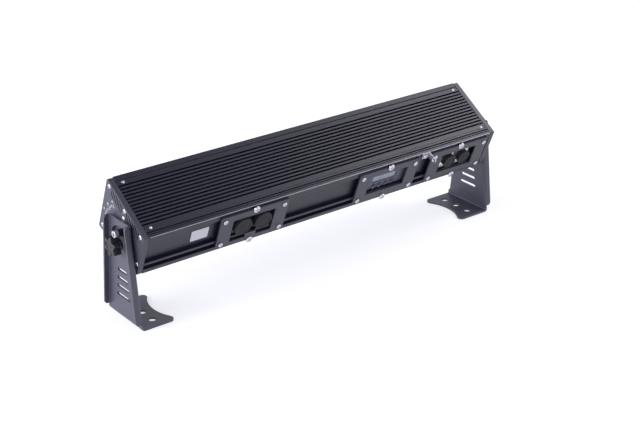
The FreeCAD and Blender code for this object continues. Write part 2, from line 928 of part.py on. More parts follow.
def make_control_board():
    """Board with driver chips, capacitors and a header."""
    bottom = channel_bottom_z + standoff_height
    top = bottom + board_thickness
    mid_y = chamber_mid_y()
    board = block((board_center_x - board_length / 2, board_center_x + board_length / 2),
                  (mid_y - board_depth / 2, mid_y + board_depth / 2), (bottom, top))
    parts = []
    for index in range(4):
        x = board_center_x + (index - 1.5) * board_length / 5
        parts.append(block((x - chip_size / 2, x + chip_size / 2), (mid_y - chip_size, mid_y),
                           (top, top + chip_height)))
        parts.append(rod_z(x, mid_y + board_depth / 4, capacitor_radius, top,
                           top + capacitor_height))
    parts.append(block((board_center_x - header_length / 2, board_center_x + header_length / 2),
                       (mid_y - board_depth / 2, mid_y - board_depth / 2 + header_depth),
                       (top, top + header_height)))
    return board.fuse(parts)


def button_x(index):
    """X of one menu button."""
    return display_plate_x + (index - (button_count - 1) / 2) * button_pitch


def screen_window_limits():
    """Limits of the clear window behind the panel in x and z, clear of the button collars."""
    half = screen_length / 2 + screen_window_border
    collar_top = front_rise - button_drop + button_collar_radius
    screen_top = front_rise - screen_drop + screen_height / 2
    return ((display_plate_x - half, display_plate_x + half),
            (collar_top + body_gap, screen_top + screen_window_border))


def make_display_panel():
    """Flat panel on the channel floor with a screen opening and button holes."""
    mid_z = front_rise - panel_drop - panel_height / 2
    front_y = channel_floor_y - panel_thickness
    panel = rounded_plate_y(display_plate_x, mid_z, panel_length, panel_height,
                            (front_y, channel_floor_y), plate_corner_radius)
    screen = block((display_plate_x - screen_length / 2, display_plate_x + screen_length / 2),
                   (front_y - 1, channel_floor_y + 1),
                   (front_rise - screen_drop - screen_height / 2,
                    front_rise - screen_drop + screen_height / 2))
    holes = [rod_y(button_x(index), front_rise - button_drop, button_radius + fit_gap, front_y - 1,
                   channel_floor_y + 1) for index in range(button_count)]
    return panel.cut([screen] + holes)


def make_display_window():
    """Clear window that closes the screen opening from behind."""
    x_limits, z_limits = screen_window_limits()
    return block(x_limits, (channel_floor_y, channel_floor_y + screen_window_thickness), z_limits)


def make_lcd_module():
    """Display board with the liquid crystal block and four switches on its front."""
    board_front = chamber_front_y + display_board_gap
    board_back = board_front + board_thickness
    bottom = channel_bottom_z
    top = min(front_rise - screen_drop + screen_height, roof_z(chamber_front_y) - fit_gap)
    board = block((display_plate_x - display_board_length / 2,
                   display_plate_x + display_board_length / 2), (board_front, board_back),
                  (bottom, top))
    screen = block((display_plate_x - screen_length / 2 - 1, display_plate_x + screen_length / 2 + 1),
                   (channel_floor_y + screen_window_thickness, board_front),
                   (front_rise - screen_drop - screen_height / 2 - 1,
                    front_rise - screen_drop + screen_height / 2 + 1))
    switches = []
    switch_bottom = channel_bottom_z
    switch_front = channel_floor_y + button_collar_thickness + 2 * button_travel
    for index in range(button_count):
        x = button_x(index)
        switches.append(block((x - switch_size / 2, x + switch_size / 2), (switch_front, board_front),
                              (switch_bottom, switch_bottom + switch_size)))
    return board.fuse([screen] + switches)


def make_menu_button(index):
    """Round button with a collar behind the panel."""
    x = button_x(index)
    z = front_rise - button_drop
    front_y = channel_floor_y - panel_thickness - button_proud
    cap = rod_y(x, z, button_radius, front_y, channel_floor_y)
    edge = [item for item in cap.Edges if abs(item.CenterOfMass.y - front_y) < 1e-6]
    cap = cap.makeFillet(button_proud / 4, edge)
    collar = rod_y(x, z, button_collar_radius, channel_floor_y,
                   channel_floor_y + button_collar_thickness)
    return cap.fuse(collar)


# ---------------------------------------------------------------------------
# Connector side
# ---------------------------------------------------------------------------

def make_plate(center, length, height, drop, tab=False):
    """Plate with a window, corner holes and notches for the edge screws."""
    plate = rounded_plate_y(center, plate_mid_z, plate_length, plate_height,
                            (plate_face_y, rail_face_y), plate_corner_radius)
    window_z = front_rise - drop - height / 2
    window = rounded_plate_y(center, window_z, length, height, (plate_face_y - 1, rail_face_y + 1),
                             window_corner_radius)
    if tab:
        tab_bottom = window_z - height / 2
        window = window.cut(block((center - power_tab_length / 2, center + power_tab_length / 2),
                                  (plate_face_y - 1, rail_face_y + 1),
                                  (tab_bottom - 1, tab_bottom + power_tab_height)))
    cutters = [window]
    for x, z, _ in corner_screw_places():
        if abs(x - center) < plate_length / 2:
            cutters.append(rod_y(x, z, small_shank_radius + fit_gap, plate_face_y - 1,
                                 rail_face_y + 1))
    for x, z in edge_screw_places():
        if x == center:
            cutters.append(rod_y(x, z, edge_shoulder_radius + fit_gap, plate_face_y - 1,
                                 rail_face_y + 1))
    return plate.cut(cutters)


def make_plate_spacers():
    """Tubes that carry the plate corners over the channel and the deep groove."""
    spacers = []
    for x, z, floor_y in corner_screw_places():
        tube = rod_y(x, z, spacer_radius, rail_face_y, floor_y)
        spacers.append(tube.cut(rod_y(x, z, small_shank_radius + fit_gap, rail_face_y - 1,
                                      floor_y + 1)))
    return group(spacers)


def face_screw(x, z, head_y, head_radius, head_height, end_y):
    """Low-head screw driven inwards, with a drive recess."""
    head = rod_y(x, z, head_radius, head_y - head_height, head_y)
    rim = [edge for edge in head.Edges if abs(edge.CenterOfMass.y - (head_y - head_height)) < 1e-6]
    head = head.makeFillet(head_height * 0.4, rim)
    shank = rod_y(x, z, small_shank_radius, head_y, end_y)
    drive = rod_y(x, z, small_shank_radius * 0.8, head_y - head_height - 1, head_y - head_height / 2)
    return head.fuse(shank).cut(drive)


def make_plate_corner_screws():
    """Corner screws of the three plates."""
    return group([face_screw(x, z, plate_face_y, small_head_radius, small_head_height,
                             floor_y + corner_screw_bite)
                  for x, z, floor_y in corner_screw_places()])


def make_plate_edge_screws():
    """Large shoulder screws at the middle of the plates' long edges."""
    screws = []
    for x, z in edge_screw_places():
        screw = face_screw(x, z, plate_face_y, edge_head_radius, edge_head_height,
                           rail_face_y + edge_screw_bite)
        screws.append(screw.fuse(rod_y(x, z, edge_shoulder_radius, plate_face_y, rail_face_y)))
    return group(screws)


def collar_size(kind):
    """Collar radius and height of a connector."""
    if kind == "power":
        return power_collar_radius, power_collar_height
    return data_collar_radius, data_collar_height


def contact_count(kind):
    """Number of contact pins of a connector."""
    if kind == "power":
        return power_contacts
    return data_contacts


def make_connector(x, kind):
    """Square flange with a barrel behind, an open collar in front and contact pins."""
    radius, height = collar_size(kind)
    flange = rounded_plate_y(x, connector_z, flange_width, flange_height,
                             (flange_face_y, channel_floor_y), flange_corner)
    barrel = rod_y(x, connector_z, connector_barrel_radius, channel_floor_y,
                   channel_floor_y + connector_barrel_depth)
    collar = rod_y(x, connector_z, radius, flange_face_y - height, flange_face_y)
    hollow = rod_y(x, connector_z, radius - collar_wall, flange_face_y - height - 1,
                   channel_floor_y + connector_barrel_depth / 2)
    holes = []
    for screw_x, screw_z in flange_screw_places(x):
        holes.append(rod_y(screw_x, screw_z, small_shank_radius + fit_gap, flange_face_y - 1,
                           channel_floor_y + 1))
    body = flange.fuse([barrel, collar]).cut([hollow] + holes)
    pins = []
    floor_y = channel_floor_y + connector_barrel_depth / 2
    for index in range(contact_count(kind)):
        angle = 2 * math.pi * index / contact_count(kind)
        pins.append(rod_y(x + contact_circle_radius * math.cos(angle),
                          connector_z + contact_circle_radius * math.sin(angle), contact_radius,
                          floor_y - contact_length, floor_y))
    return body.fuse(pins)


def make_cap(x, kind):
    """Cup-shaped cover that pulls off the connector's collar."""
    collar_radius, collar_height = collar_size(kind)
    radius = power_cap_radius if kind == "power" else data_cap_radius
    height = power_cap_height if kind == "power" else data_cap_height
    front_y = flange_face_y - height
    cup = rod_y(x, connector_z, radius, front_y, flange_face_y)
    rim = [edge for edge in cup.Edges if abs(edge.CenterOfMass.y - front_y) < 1e-6]
    cup = cup.makeFillet(height / 5, rim)
    inside = rod_y(x, connector_z, collar_radius + fit_gap, flange_face_y - collar_height - fit_gap,
                   flange_face_y + 1)
    notches = []
    for screw_x, screw_z in flange_screw_places(x):
        notches.append(rod_y(screw_x, screw_z, flange_head_radius + fit_gap,
                             flange_face_y - flange_head_height - fit_gap, flange_face_y + 1))
    return cup.cut([inside] + notches)


def make_connector_screws():
    """Two small screws in each connector flange."""
    screws = []
    for _, x, _ in connector_places():
        for screw_x, screw_z in flange_screw_places(x):
            head = rod_y(screw_x, screw_z, flange_head_radius, flange_face_y - flange_head_height,
                         flange_face_y)
            shank = rod_y(screw_x, screw_z, small_shank_radius, flange_face_y,
                          channel_floor_y + flange_screw_bite)
            screws.append(head.fuse(shank))
    return group(screws)


def eye_mid_z():
    """Height of the safety eye, at the middle of the upper rail."""
    return front_rise - upper_rail_height / 2


def eye_screw_place():
    """Screw of the safety eye on the upper rail."""
    return eye_x - eye_foot_length / 2, eye_mid_z()


def make_safety_eye():
    """Bent tab with a round hole for a safety wire."""
    mid_z = eye_mid_z()
    half = eye_height / 2
    foot = block((eye_x - eye_foot_length, eye_x), (rail_face_y - eye_foot_thickness, rail_face_y),
                 (mid_z - half, mid_z + half))
    tip_y = rail_face_y - eye_reach + half
    tab = block((eye_x, eye_x + eye_thickness), (tip_y, rail_face_y), (mid_z - half, mid_z + half))
    tip = rod_x(tip_y, mid_z, half, eye_x, eye_x + eye_thickness)
    hole = rod_x(tip_y, mid_z, eye_hole_radius, eye_x - 1, eye_x + eye_thickness + 1)
    screw_x, screw_z = eye_screw_place()
    screw_hole = rod_y(screw_x, screw_z, small_shank_radius + fit_gap,
                       rail_face_y - eye_foot_thickness - 1, rail_face_y + 1)
    return foot.fuse([tab, tip]).cut([hole, screw_hole])


def make_safety_eye_screw():
    """Screw that holds the safety eye."""
    x, z = eye_screw_place()
    return face_screw(x, z, rail_face_y - eye_foot_thickness, small_head_radius, small_head_height,
                      rail_face_y + edge_screw_bite)


def make_blank_plate():
    """Small bare plate on the channel floor."""
    mid_z = front_rise - blank_drop
    return rounded_plate_y(blank_center_x, mid_z, blank_length, blank_height,
                           (channel_floor_y - blank_thickness, channel_floor_y), plate_corner_radius)


def make_fin_face_screws():
    """Small screws square to the fin face."""
    head = rod_z(0, 0, fin_screw_head_radius, 0, fin_screw_head_height)
    shank = rod_z(0, 0, fin_screw_radius, -fin_screw_bite, 0)
    screw = head.fuse(shank)
    return group([square_to_face(screw, x, along) for x, along in fin_screw_places()])


def make_pressure_vent():
    """Breather plug: a ribbed cap outside the rear wall and a stem through it."""
    cap = rod_y(vent_x, vent_height, vent_cap_radius, rear_reach, rear_reach + vent_cap_thickness)
    notches = []
    for index in range(vent_notches):
        angle = 2 * math.pi * index / vent_notches
        notches.append(rod_y(vent_x + vent_cap_radius * math.cos(angle),
                             vent_height + vent_cap_radius * math.sin(angle), vent_notch_radius,
                             rear_reach + vent_cap_thickness / 4, rear_reach + vent_cap_thickness + 1))
    stem = rod_y(vent_x, vent_height, vent_stem_radius, chamber_rear_y, rear_reach)
    return cap.cut(notches).fuse(stem)


# ---------------------------------------------------------------------------
# Tilt hardware (drawn for the left end, mirrored for the right)
# ---------------------------------------------------------------------------

def washer_x(radius, hole_radius, x_outer, x_inner):
    """Flat washer about the tilt axis."""
    disc = rod_x(0, 0, radius, x_outer, x_inner)
    return disc.cut(rod_x(0, 0, hole_radius, x_outer - 1, x_inner + 1))


def make_friction_washer():
    """Washer between the end plate and the leg."""
    thickness = leg_gap - fit_gap
    return washer_x(friction_washer_radius, stud_radius + fit_gap, -end_plate_outer_x - thickness,
                    -end_plate_outer_x)


def make_knob_washer():
    """Washer between the leg and the knob."""
    return washer_x(knob_washer_radius, stud_radius + fit_gap, -knob_washer_outer_x, -leg_outer_x)


def make_knob():
    """Lobed knob with a round hub and a socket for its stud."""
    lobed_inner_x = -knob_inner_x - knob_hub_height
    outer_x = -knob_inner_x - knob_height
    lobe_circle = knob_radius - knob_lobe_radius
    core = rod_x(0, 0, lobe_circle, outer_x, lobed_inner_x)
    lobes = []
    for index in range(knob_lobes):
        angle = 2 * math.pi * index / knob_lobes
        lobes.append(rod_x(lobe_circle * math.cos(angle), lobe_circle * math.sin(angle),
                           knob_lobe_radius, outer_x, lobed_inner_x))
    hub = rod_x(0, 0, knob_hub_radius, lobed_inner_x, -knob_inner_x)
    socket = rod_x(0, 0, stud_radius, -knob_inner_x - knob_socket_depth, -knob_inner_x + 1)
    dish = rod_x(0, 0, knob_hub_radius - 1, outer_x - 1, outer_x + 1)
    return core.fuse(lobes + [hub]).cut([socket, dish])


def make_knob_stud():
    """Threaded stud from the knob's socket into the end plate."""
    return rod_x(0, 0, stud_radius - screw_gap, -knob_inner_x - knob_socket_depth,
                 -end_plate_outer_x + stud_bite)


def make_guide_screw():
    """Cap screw that runs in the leg's arc slot."""
    head_inner = -guide_head_inner_x
    head_outer = head_inner - guide_head_height
    head = rod_x(0, guide_circle_radius, guide_head_radius, head_outer, head_inner)
    shank = rod_x(0, guide_circle_radius, guide_shank_radius, head_inner,
                  -end_plate_outer_x + guide_bite)
    socket = rod_x(0, guide_circle_radius, guide_socket_radius, head_outer - 1,
                   head_outer + guide_socket_depth)
    return head.fuse(shank).cut(socket)


def make_guide_sleeve():
    """Spacer sleeve between the leg and the guide screw's head."""
    sleeve = rod_x(0, guide_circle_radius, guide_sleeve_radius, -guide_head_inner_x,
                   -guide_sleeve_inner_x)
    bore = rod_x(0, guide_circle_radius, guide_shank_radius + screw_gap, -guide_head_inner_x - 1,
                 -guide_sleeve_inner_x + 1)
    return sleeve.cut(bore)


# ---------------------------------------------------------------------------
# Bracket (drawn for the right end; the left one is the same piece turned round)
# ---------------------------------------------------------------------------

def leg_half_width(z):
    """Half-width of the leg at a height."""
    share = (bracket_height - z) / bracket_height
    return bracket_top_half_width + share * (bracket_foot_half_width - bracket_top_half_width)


def channel_wire(z):
    """Folded section of the leg and its two side flanges at one height."""
    half = leg_half_width(z)
    inner = bend_inner_radius
    outer = inner + sheet_thickness
    tip_x = leg_inner_x + side_flange_depth
    points = {}
    for side in (-1, 1):
        points[side] = {
            "tip_out": FreeCAD.Vector(tip_x, side * half, z),
            "tip_in": FreeCAD.Vector(tip_x, side * (half - sheet_thickness), z),
            "fold_out_a": FreeCAD.Vector(leg_inner_x + outer, side * half, z),
            "fold_out_b": FreeCAD.Vector(leg_inner_x, side * (half - outer), z),
            "fold_in_a": FreeCAD.Vector(leg_inner_x + outer, side * (half - sheet_thickness), z),
            "fold_in_b": FreeCAD.Vector(leg_outer_x, side * (half - outer), z),
            "out_mid": FreeCAD.Vector(leg_inner_x + outer * (1 - math.sqrt(0.5)),
                                      side * (half - outer * (1 - math.sqrt(0.5))), z),
            "in_mid": FreeCAD.Vector(leg_inner_x + outer - inner * math.sqrt(0.5),
                                     side * (half - outer + inner * math.sqrt(0.5)), z),
        }
    low, high = points[-1], points[1]
    edges = [
        Part.makeLine(low["tip_out"], low["fold_out_a"]),
        Part.Arc(low["fold_out_a"], low["out_mid"], low["fold_out_b"]).toShape(),
        Part.makeLine(low["fold_out_b"], high["fold_out_b"]),
        Part.Arc(high["fold_out_b"], high["out_mid"], high["fold_out_a"]).toShape(),
        Part.makeLine(high["fold_out_a"], high["tip_out"]),
        Part.makeLine(high["tip_out"], high["tip_in"]),
        Part.makeLine(high["tip_in"], high["fold_in_a"]),
        Part.Arc(high["fold_in_a"], high["in_mid"], high["fold_in_b"]).toShape(),
        Part.makeLine(high["fold_in_b"], low["fold_in_b"]),
        Part.Arc(low["fold_in_b"], low["in_mid"], low["fold_in_a"]).toShape(),
        Part.makeLine(low["fold_in_a"], low["tip_in"]),
        Part.makeLine(low["tip_in"], low["tip_out"]),
    ]
    return Part.Wire(edges)


def flanged_leg():
    """Upper part of the leg with its side flanges, corners rounded."""
    folded = Part.makeLoft([channel_wire(side_flange_foot_gap), channel_wire(bracket_height)],
                           True, True)
    side_view = block((leg_inner_x - 1, leg_inner_x + side_flange_depth),
                      (-bracket_foot_half_width - 1, bracket_foot_half_width + 1),
                      (side_flange_foot_gap, bracket_height))
    free_corners = []
    for edge in side_view.Edges:
        along = abs(edge.tangentAt(edge.FirstParameter).y) > 0.99
        if along and edge.CenterOfMass.x > leg_outer_x:
            free_corners.append(edge)
    return folded.common(side_view.makeFillet(side_flange_corner, free_corners))


def foot_outline():
    """Foot seen from above, with the scallop in its inner edge, for the right bracket."""
    half = leg_half_width(0)
    short_x = leg_outer_x - foot_short_length
    long_x = leg_outer_x - foot_long_length
    scallop = Part.Arc(
        FreeCAD.Vector(long_x + 1, -half + 2 * foot_corner_radius, 0),
        FreeCAD.Vector(leg_outer_x - foot_scallop_length, foot_scallop_shift, 0),
        FreeCAD.Vector(short_x, half - 2 * foot_corner_radius, 0)).toShape()
    long_end = FreeCAD.Vector(long_x + foot_corner_radius + 1, -half, 0)
    short_end = FreeCAD.Vector(short_x + foot_corner_radius, half, 0)
    bulge = foot_corner_radius * 0.35
    long_corner = Part.Arc(
        FreeCAD.Vector(long_x + 1, -half + 2 * foot_corner_radius, 0),
        FreeCAD.Vector(long_x + 1 + bulge, -half + bulge, 0), long_end).toShape()
    short_corner = Part.Arc(
        FreeCAD.Vector(short_x, half - 2 * foot_corner_radius, 0),
        FreeCAD.Vector(short_x + bulge, half - bulge, 0), short_end).toShape()
    back_x = leg_outer_x + 1
    back_low = FreeCAD.Vector(back_x, -half, 0)
    back_high = FreeCAD.Vector(back_x, half, 0)
    edges = [
        long_corner, scallop, short_corner,
        Part.makeLine(short_end, back_high),
        Part.makeLine(back_high, back_low),
        Part.makeLine(back_low, long_end),
    ]
    return Part.Face(Part.Wire(Part.__sortEdges__(edges)))


def leg_and_foot():
    """Lower part of the leg, the bend and the foot, from one L-shaped strip."""
    half = leg_half_width(0)
    outer = bend_inner_radius + sheet_thickness
    strip = block((leg_inner_x, leg_outer_x), (-half, half), (0, side_flange_foot_gap))
    foot = block((leg_outer_x - foot_long_length, leg_outer_x), (-half, half), (0, sheet_thickness))
    fill = block((leg_inner_x - bend_inner_radius, leg_inner_x), (-half, half),
                 (sheet_thickness, sheet_thickness + bend_inner_radius))
    round_in = rod_y(leg_inner_x - bend_inner_radius, sheet_thickness + bend_inner_radius,
                     bend_inner_radius, -half - 1, half + 1)
    corner = block((leg_outer_x - outer, leg_outer_x + 1), (-half - 1, half + 1), (-1, outer))
    round_out = rod_y(leg_outer_x - outer, outer, outer, -half - 1, half + 1)
    sheet = strip.fuse([foot, fill.cut(round_in)]).cut(corner.cut(round_out))
    plan = foot_outline().extrude(FreeCAD.Vector(0, 0, side_flange_foot_gap))
    trapezoid = prism_x([(-leg_half_width(0), 0), (leg_half_width(0), 0),
                         (leg_half_width(side_flange_foot_gap), side_flange_foot_gap),
                         (-leg_half_width(side_flange_foot_gap), side_flange_foot_gap)],
                        leg_outer_x - foot_long_length - 1, leg_outer_x + 1)
    return sheet.common(plan).common(trapezoid)


def guide_slot():
    """Arc slot about the tilt axis, closed at both tilt limits."""
    x_from, x_to = leg_inner_x - 1, leg_outer_x + 1
    half = guide_slot_width / 2
    ring = rod_x(0, pivot_height, guide_circle_radius + half, x_from, x_to)
    ring = ring.cut(rod_x(0, pivot_height, guide_circle_radius - half, x_from - 1, x_to + 1))
    reach = 4 * guide_circle_radius
    side = reach * math.sin(math.radians(tilt_each_way))
    rise = reach * math.cos(math.radians(tilt_each_way))
    sector = prism_x([(0, pivot_height), (side, pivot_height + rise), (0, pivot_height + reach),
                      (-side, pivot_height + rise)], x_from, x_to)
    ends = []
    for sign in (-1, 1):
        y = sign * guide_circle_radius * math.sin(math.radians(tilt_each_way))
        z = pivot_height + guide_circle_radius * math.cos(math.radians(tilt_each_way))
        ends.append(rod_x(y, z, half, x_from, x_to))
    return ring.common(sector).fuse(ends)


def make_bracket():
    """Right bracket: one folded sheet with slots, bores and bolt holes."""
    sheet = flanged_leg().fuse(leg_and_foot()).removeSplitter()
    x_from, x_to = leg_inner_x - 1, leg_outer_x + 1
    cutters = [rod_x(0, pivot_height, stud_radius + fit_gap, x_from, x_to), guide_slot()]
    for height, length in zip(leg_slot_heights, leg_slot_lengths):
        cutters.append(slot_along_y(length, leg_slot_width, 0, height, x_from, x_to))
    first = -(foot_hole_count - 1) * foot_hole_pitch / 2
    for index in range(foot_hole_count):
        cutters.append(rod_z(leg_outer_x - foot_hole_reach, first + index * foot_hole_pitch,
                             foot_hole_radius, -1, sheet_thickness + 1))
    return sheet.cut(cutters)


def turned_round(shape):
    """The same piece turned half a turn about the vertical."""
    turned = shape.copy()
    turned.rotate(origin, along_z, 180)
    return turned


# ---------------------------------------------------------------------------
# Assembly
# ---------------------------------------------------------------------------

def bar_pieces():
    """All pieces that tilt with the bar, drawn about the tilt axis."""
    pieces = {
        "housing": make_housing(),
        "end_plate_screws": make_end_plate_screws(),
        "front_glass": make_glass(),
        "glass_gasket": make_glass_gasket(),
        "front_bezel": make_bezel(),
        "bezel_screws": make_bezel_screws(),
        "led_board": make_led_board(),
        "led_emitters": make_led_emitters(),
        "lenses": make_lenses(),
        "lens_holder": make_lens_holder(),
        "power_supply": make_power_supply(),
        "board_standoffs": make_board_standoffs(),
        "control_board": make_control_board(),
        "display_panel": make_display_panel(),
        "display_window": make_display_window(),
        "lcd_module": make_lcd_module(),
        "power_plate": make_plate(power_plate_x, power_window_length, power_window_height,
                                  power_window_drop, tab=True),
        "display_plate": make_plate(display_plate_x, display_window_length,
                                    display_window_height, display_window_drop),
        "data_plate": make_plate(data_plate_x, data_window_length, data_window_height,
                                 data_window_drop),
        "plate_spacers": make_plate_spacers(),
        "plate_corner_screws": make_plate_corner_screws(),
        "plate_edge_screws": make_plate_edge_screws(),
        "connector_screws": make_connector_screws(),
        "safety_eye": make_safety_eye(),
        "safety_eye_screw": make_safety_eye_screw(),
        "blank_plate": make_blank_plate(),
        "fin_face_screws": make_fin_face_screws(),
        "pressure_vent": make_pressure_vent(),
    }
    for name, x, kind in connector_places():
        pieces[name] = make_connector(x, kind)
        pieces[name + "_cap"] = make_cap(x, kind)
    for index in range(button_count):
        pieces["menu_button_%d" % (index + 1)] = make_menu_button(index)
    left_end = {
        "end_plate": make_end_plate(),
        "end_gasket": make_end_gasket(),
        "friction_washer": make_friction_washer(),
        "knob": make_knob(),
        "knob_stud": make_knob_stud(),
        "guide_screw": make_guide_screw(),
        "guide_sleeve": make_guide_sleeve(),
    }
    for name, shape in left_end.items():
        pieces["left_" + name] = shape
        pieces["right_" + name] = mirrored(shape)
    return pieces


def placed_bar_pieces():
    """The bar at its rest tilt between the brackets."""
    placed = {}
    for name, shape in bar_pieces().items():
        shape.rotate(origin, along_x, rest_tilt)
        shape.translate(FreeCAD.Vector(0, 0, pivot_height))
        placed[name] = shape
    return placed


def bracket_pieces():
    """Both brackets and the washers that stay with them."""
    right = make_bracket()
    left_washer = make_knob_washer()
    left_washer.translate(FreeCAD.Vector(0, 0, pivot_height))
    return {
        "right_bracket": right,
        "left_bracket": turned_round(right),
        "left_knob_washer": left_washer,
        "right_knob_washer": mirrored(left_washer),
    }


def main():
    """Build every piece, centre the light on its footprint and write the files."""
    pieces = placed_bar_pieces()
    pieces.update(bracket_pieces())
    bounds = FreeCAD.BoundBox()
    for shape in pieces.values():
        bounds.add(shape.BoundBox)
    center_shift = FreeCAD.Vector(-bounds.Center.x, -bounds.Center.y, 0)
    os.makedirs("parts", exist_ok=True)
    for name, shape in sorted(pieces.items()):
        shape.translate(center_shift)
        shape.exportStep("parts/%s.step" % name)
        print("%-24s %3d solids" % (name, len(shape.Solids)))
    print("shift in y: %.6f" % center_shift.y)
    print("overall: %.1f x %.1f x %.1f" % (bounds.XLength, bounds.YLength, bounds.ZLength))


main()
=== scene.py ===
"""Looks of the outdoor wall washer light: finishes, small hardware and the studio."""

import json
import logging
import math
from collections.abc import Callable, Iterable, Sequence
from dataclasses import dataclass, field
from enum import Enum

import bmesh
import bpy
from mathutils import Matrix, Vector


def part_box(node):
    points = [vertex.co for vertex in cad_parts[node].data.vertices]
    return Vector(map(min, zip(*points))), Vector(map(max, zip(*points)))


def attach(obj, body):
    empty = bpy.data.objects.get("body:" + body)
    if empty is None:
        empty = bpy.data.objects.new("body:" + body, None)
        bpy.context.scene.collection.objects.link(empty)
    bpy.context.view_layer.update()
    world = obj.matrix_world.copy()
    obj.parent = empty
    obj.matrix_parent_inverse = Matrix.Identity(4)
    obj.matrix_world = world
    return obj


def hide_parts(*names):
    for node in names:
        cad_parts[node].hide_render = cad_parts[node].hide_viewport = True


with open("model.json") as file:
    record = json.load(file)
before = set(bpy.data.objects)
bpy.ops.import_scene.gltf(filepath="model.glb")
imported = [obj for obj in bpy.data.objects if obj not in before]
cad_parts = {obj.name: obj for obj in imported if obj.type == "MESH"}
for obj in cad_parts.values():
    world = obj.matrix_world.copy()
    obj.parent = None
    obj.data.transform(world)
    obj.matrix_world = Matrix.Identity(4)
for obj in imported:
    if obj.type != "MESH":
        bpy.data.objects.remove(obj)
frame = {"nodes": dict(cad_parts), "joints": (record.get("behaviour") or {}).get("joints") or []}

LOG = logging.getLogger("wall_washer")
MM = 0.001
Colour = tuple[float, float, float]
Profile = Sequence[tuple[float, float]]


# ---------------------------------------------------------------------------
# Shader maths
# ---------------------------------------------------------------------------

class Value:
    """A number socket of a material that takes part in Python arithmetic."""

    def __init__(self, shading: "Shading", socket: bpy.types.NodeSocket) -> None:
        """Wrap a socket.

        Args:
            shading: the material that the socket belongs to.
            socket: the output socket that holds the number.
        """
        self.shading = shading
        self.socket = socket

    def _math(self, operation: str, first: "Value | float", second: "Value | float") -> "Value":
        """Add a Math node.

        Args:
            operation: the Math node's operation.
            first: its first input.
            second: its second input.

        Returns:
            The node's result.
        """
        return self.shading.value("ShaderNodeMath", {"operation": operation}, {0: first, 1: second})

    def __add__(self, other: "Value | float") -> "Value":
        """Sum."""
        return self._math("ADD", self, other)

    def __radd__(self, other: float) -> "Value":
        """Sum with a plain number on the left."""
        return self._math("ADD", other, self)

    def __sub__(self, other: "Value | float") -> "Value":
        """Difference."""
        return self._math("SUBTRACT", self, other)

    def __rsub__(self, other: float) -> "Value":
        """Difference from a plain number."""
        return self._math("SUBTRACT", other, self)

    def __mul__(self, other: "Value | float") -> "Value":
        """Product."""
        return self._math("MULTIPLY", self, other)

    def __rmul__(self, other: float) -> "Value":
        """Product with a plain number on the left."""
        return self._math("MULTIPLY", other, self)

    def ramp(self, low: float, high: float) -> "Value":
        """Soft step from 0 at one level to 1 at another.

        Args:
            low: level that gives 0.
            high: level that gives 1.

        Returns:
            The stepped value.
        """
        return self.shading.value("ShaderNodeMapRange", {"interpolation_type": "SMOOTHSTEP"},
                                  {"Value": self, "From Min": low, "From Max": high})


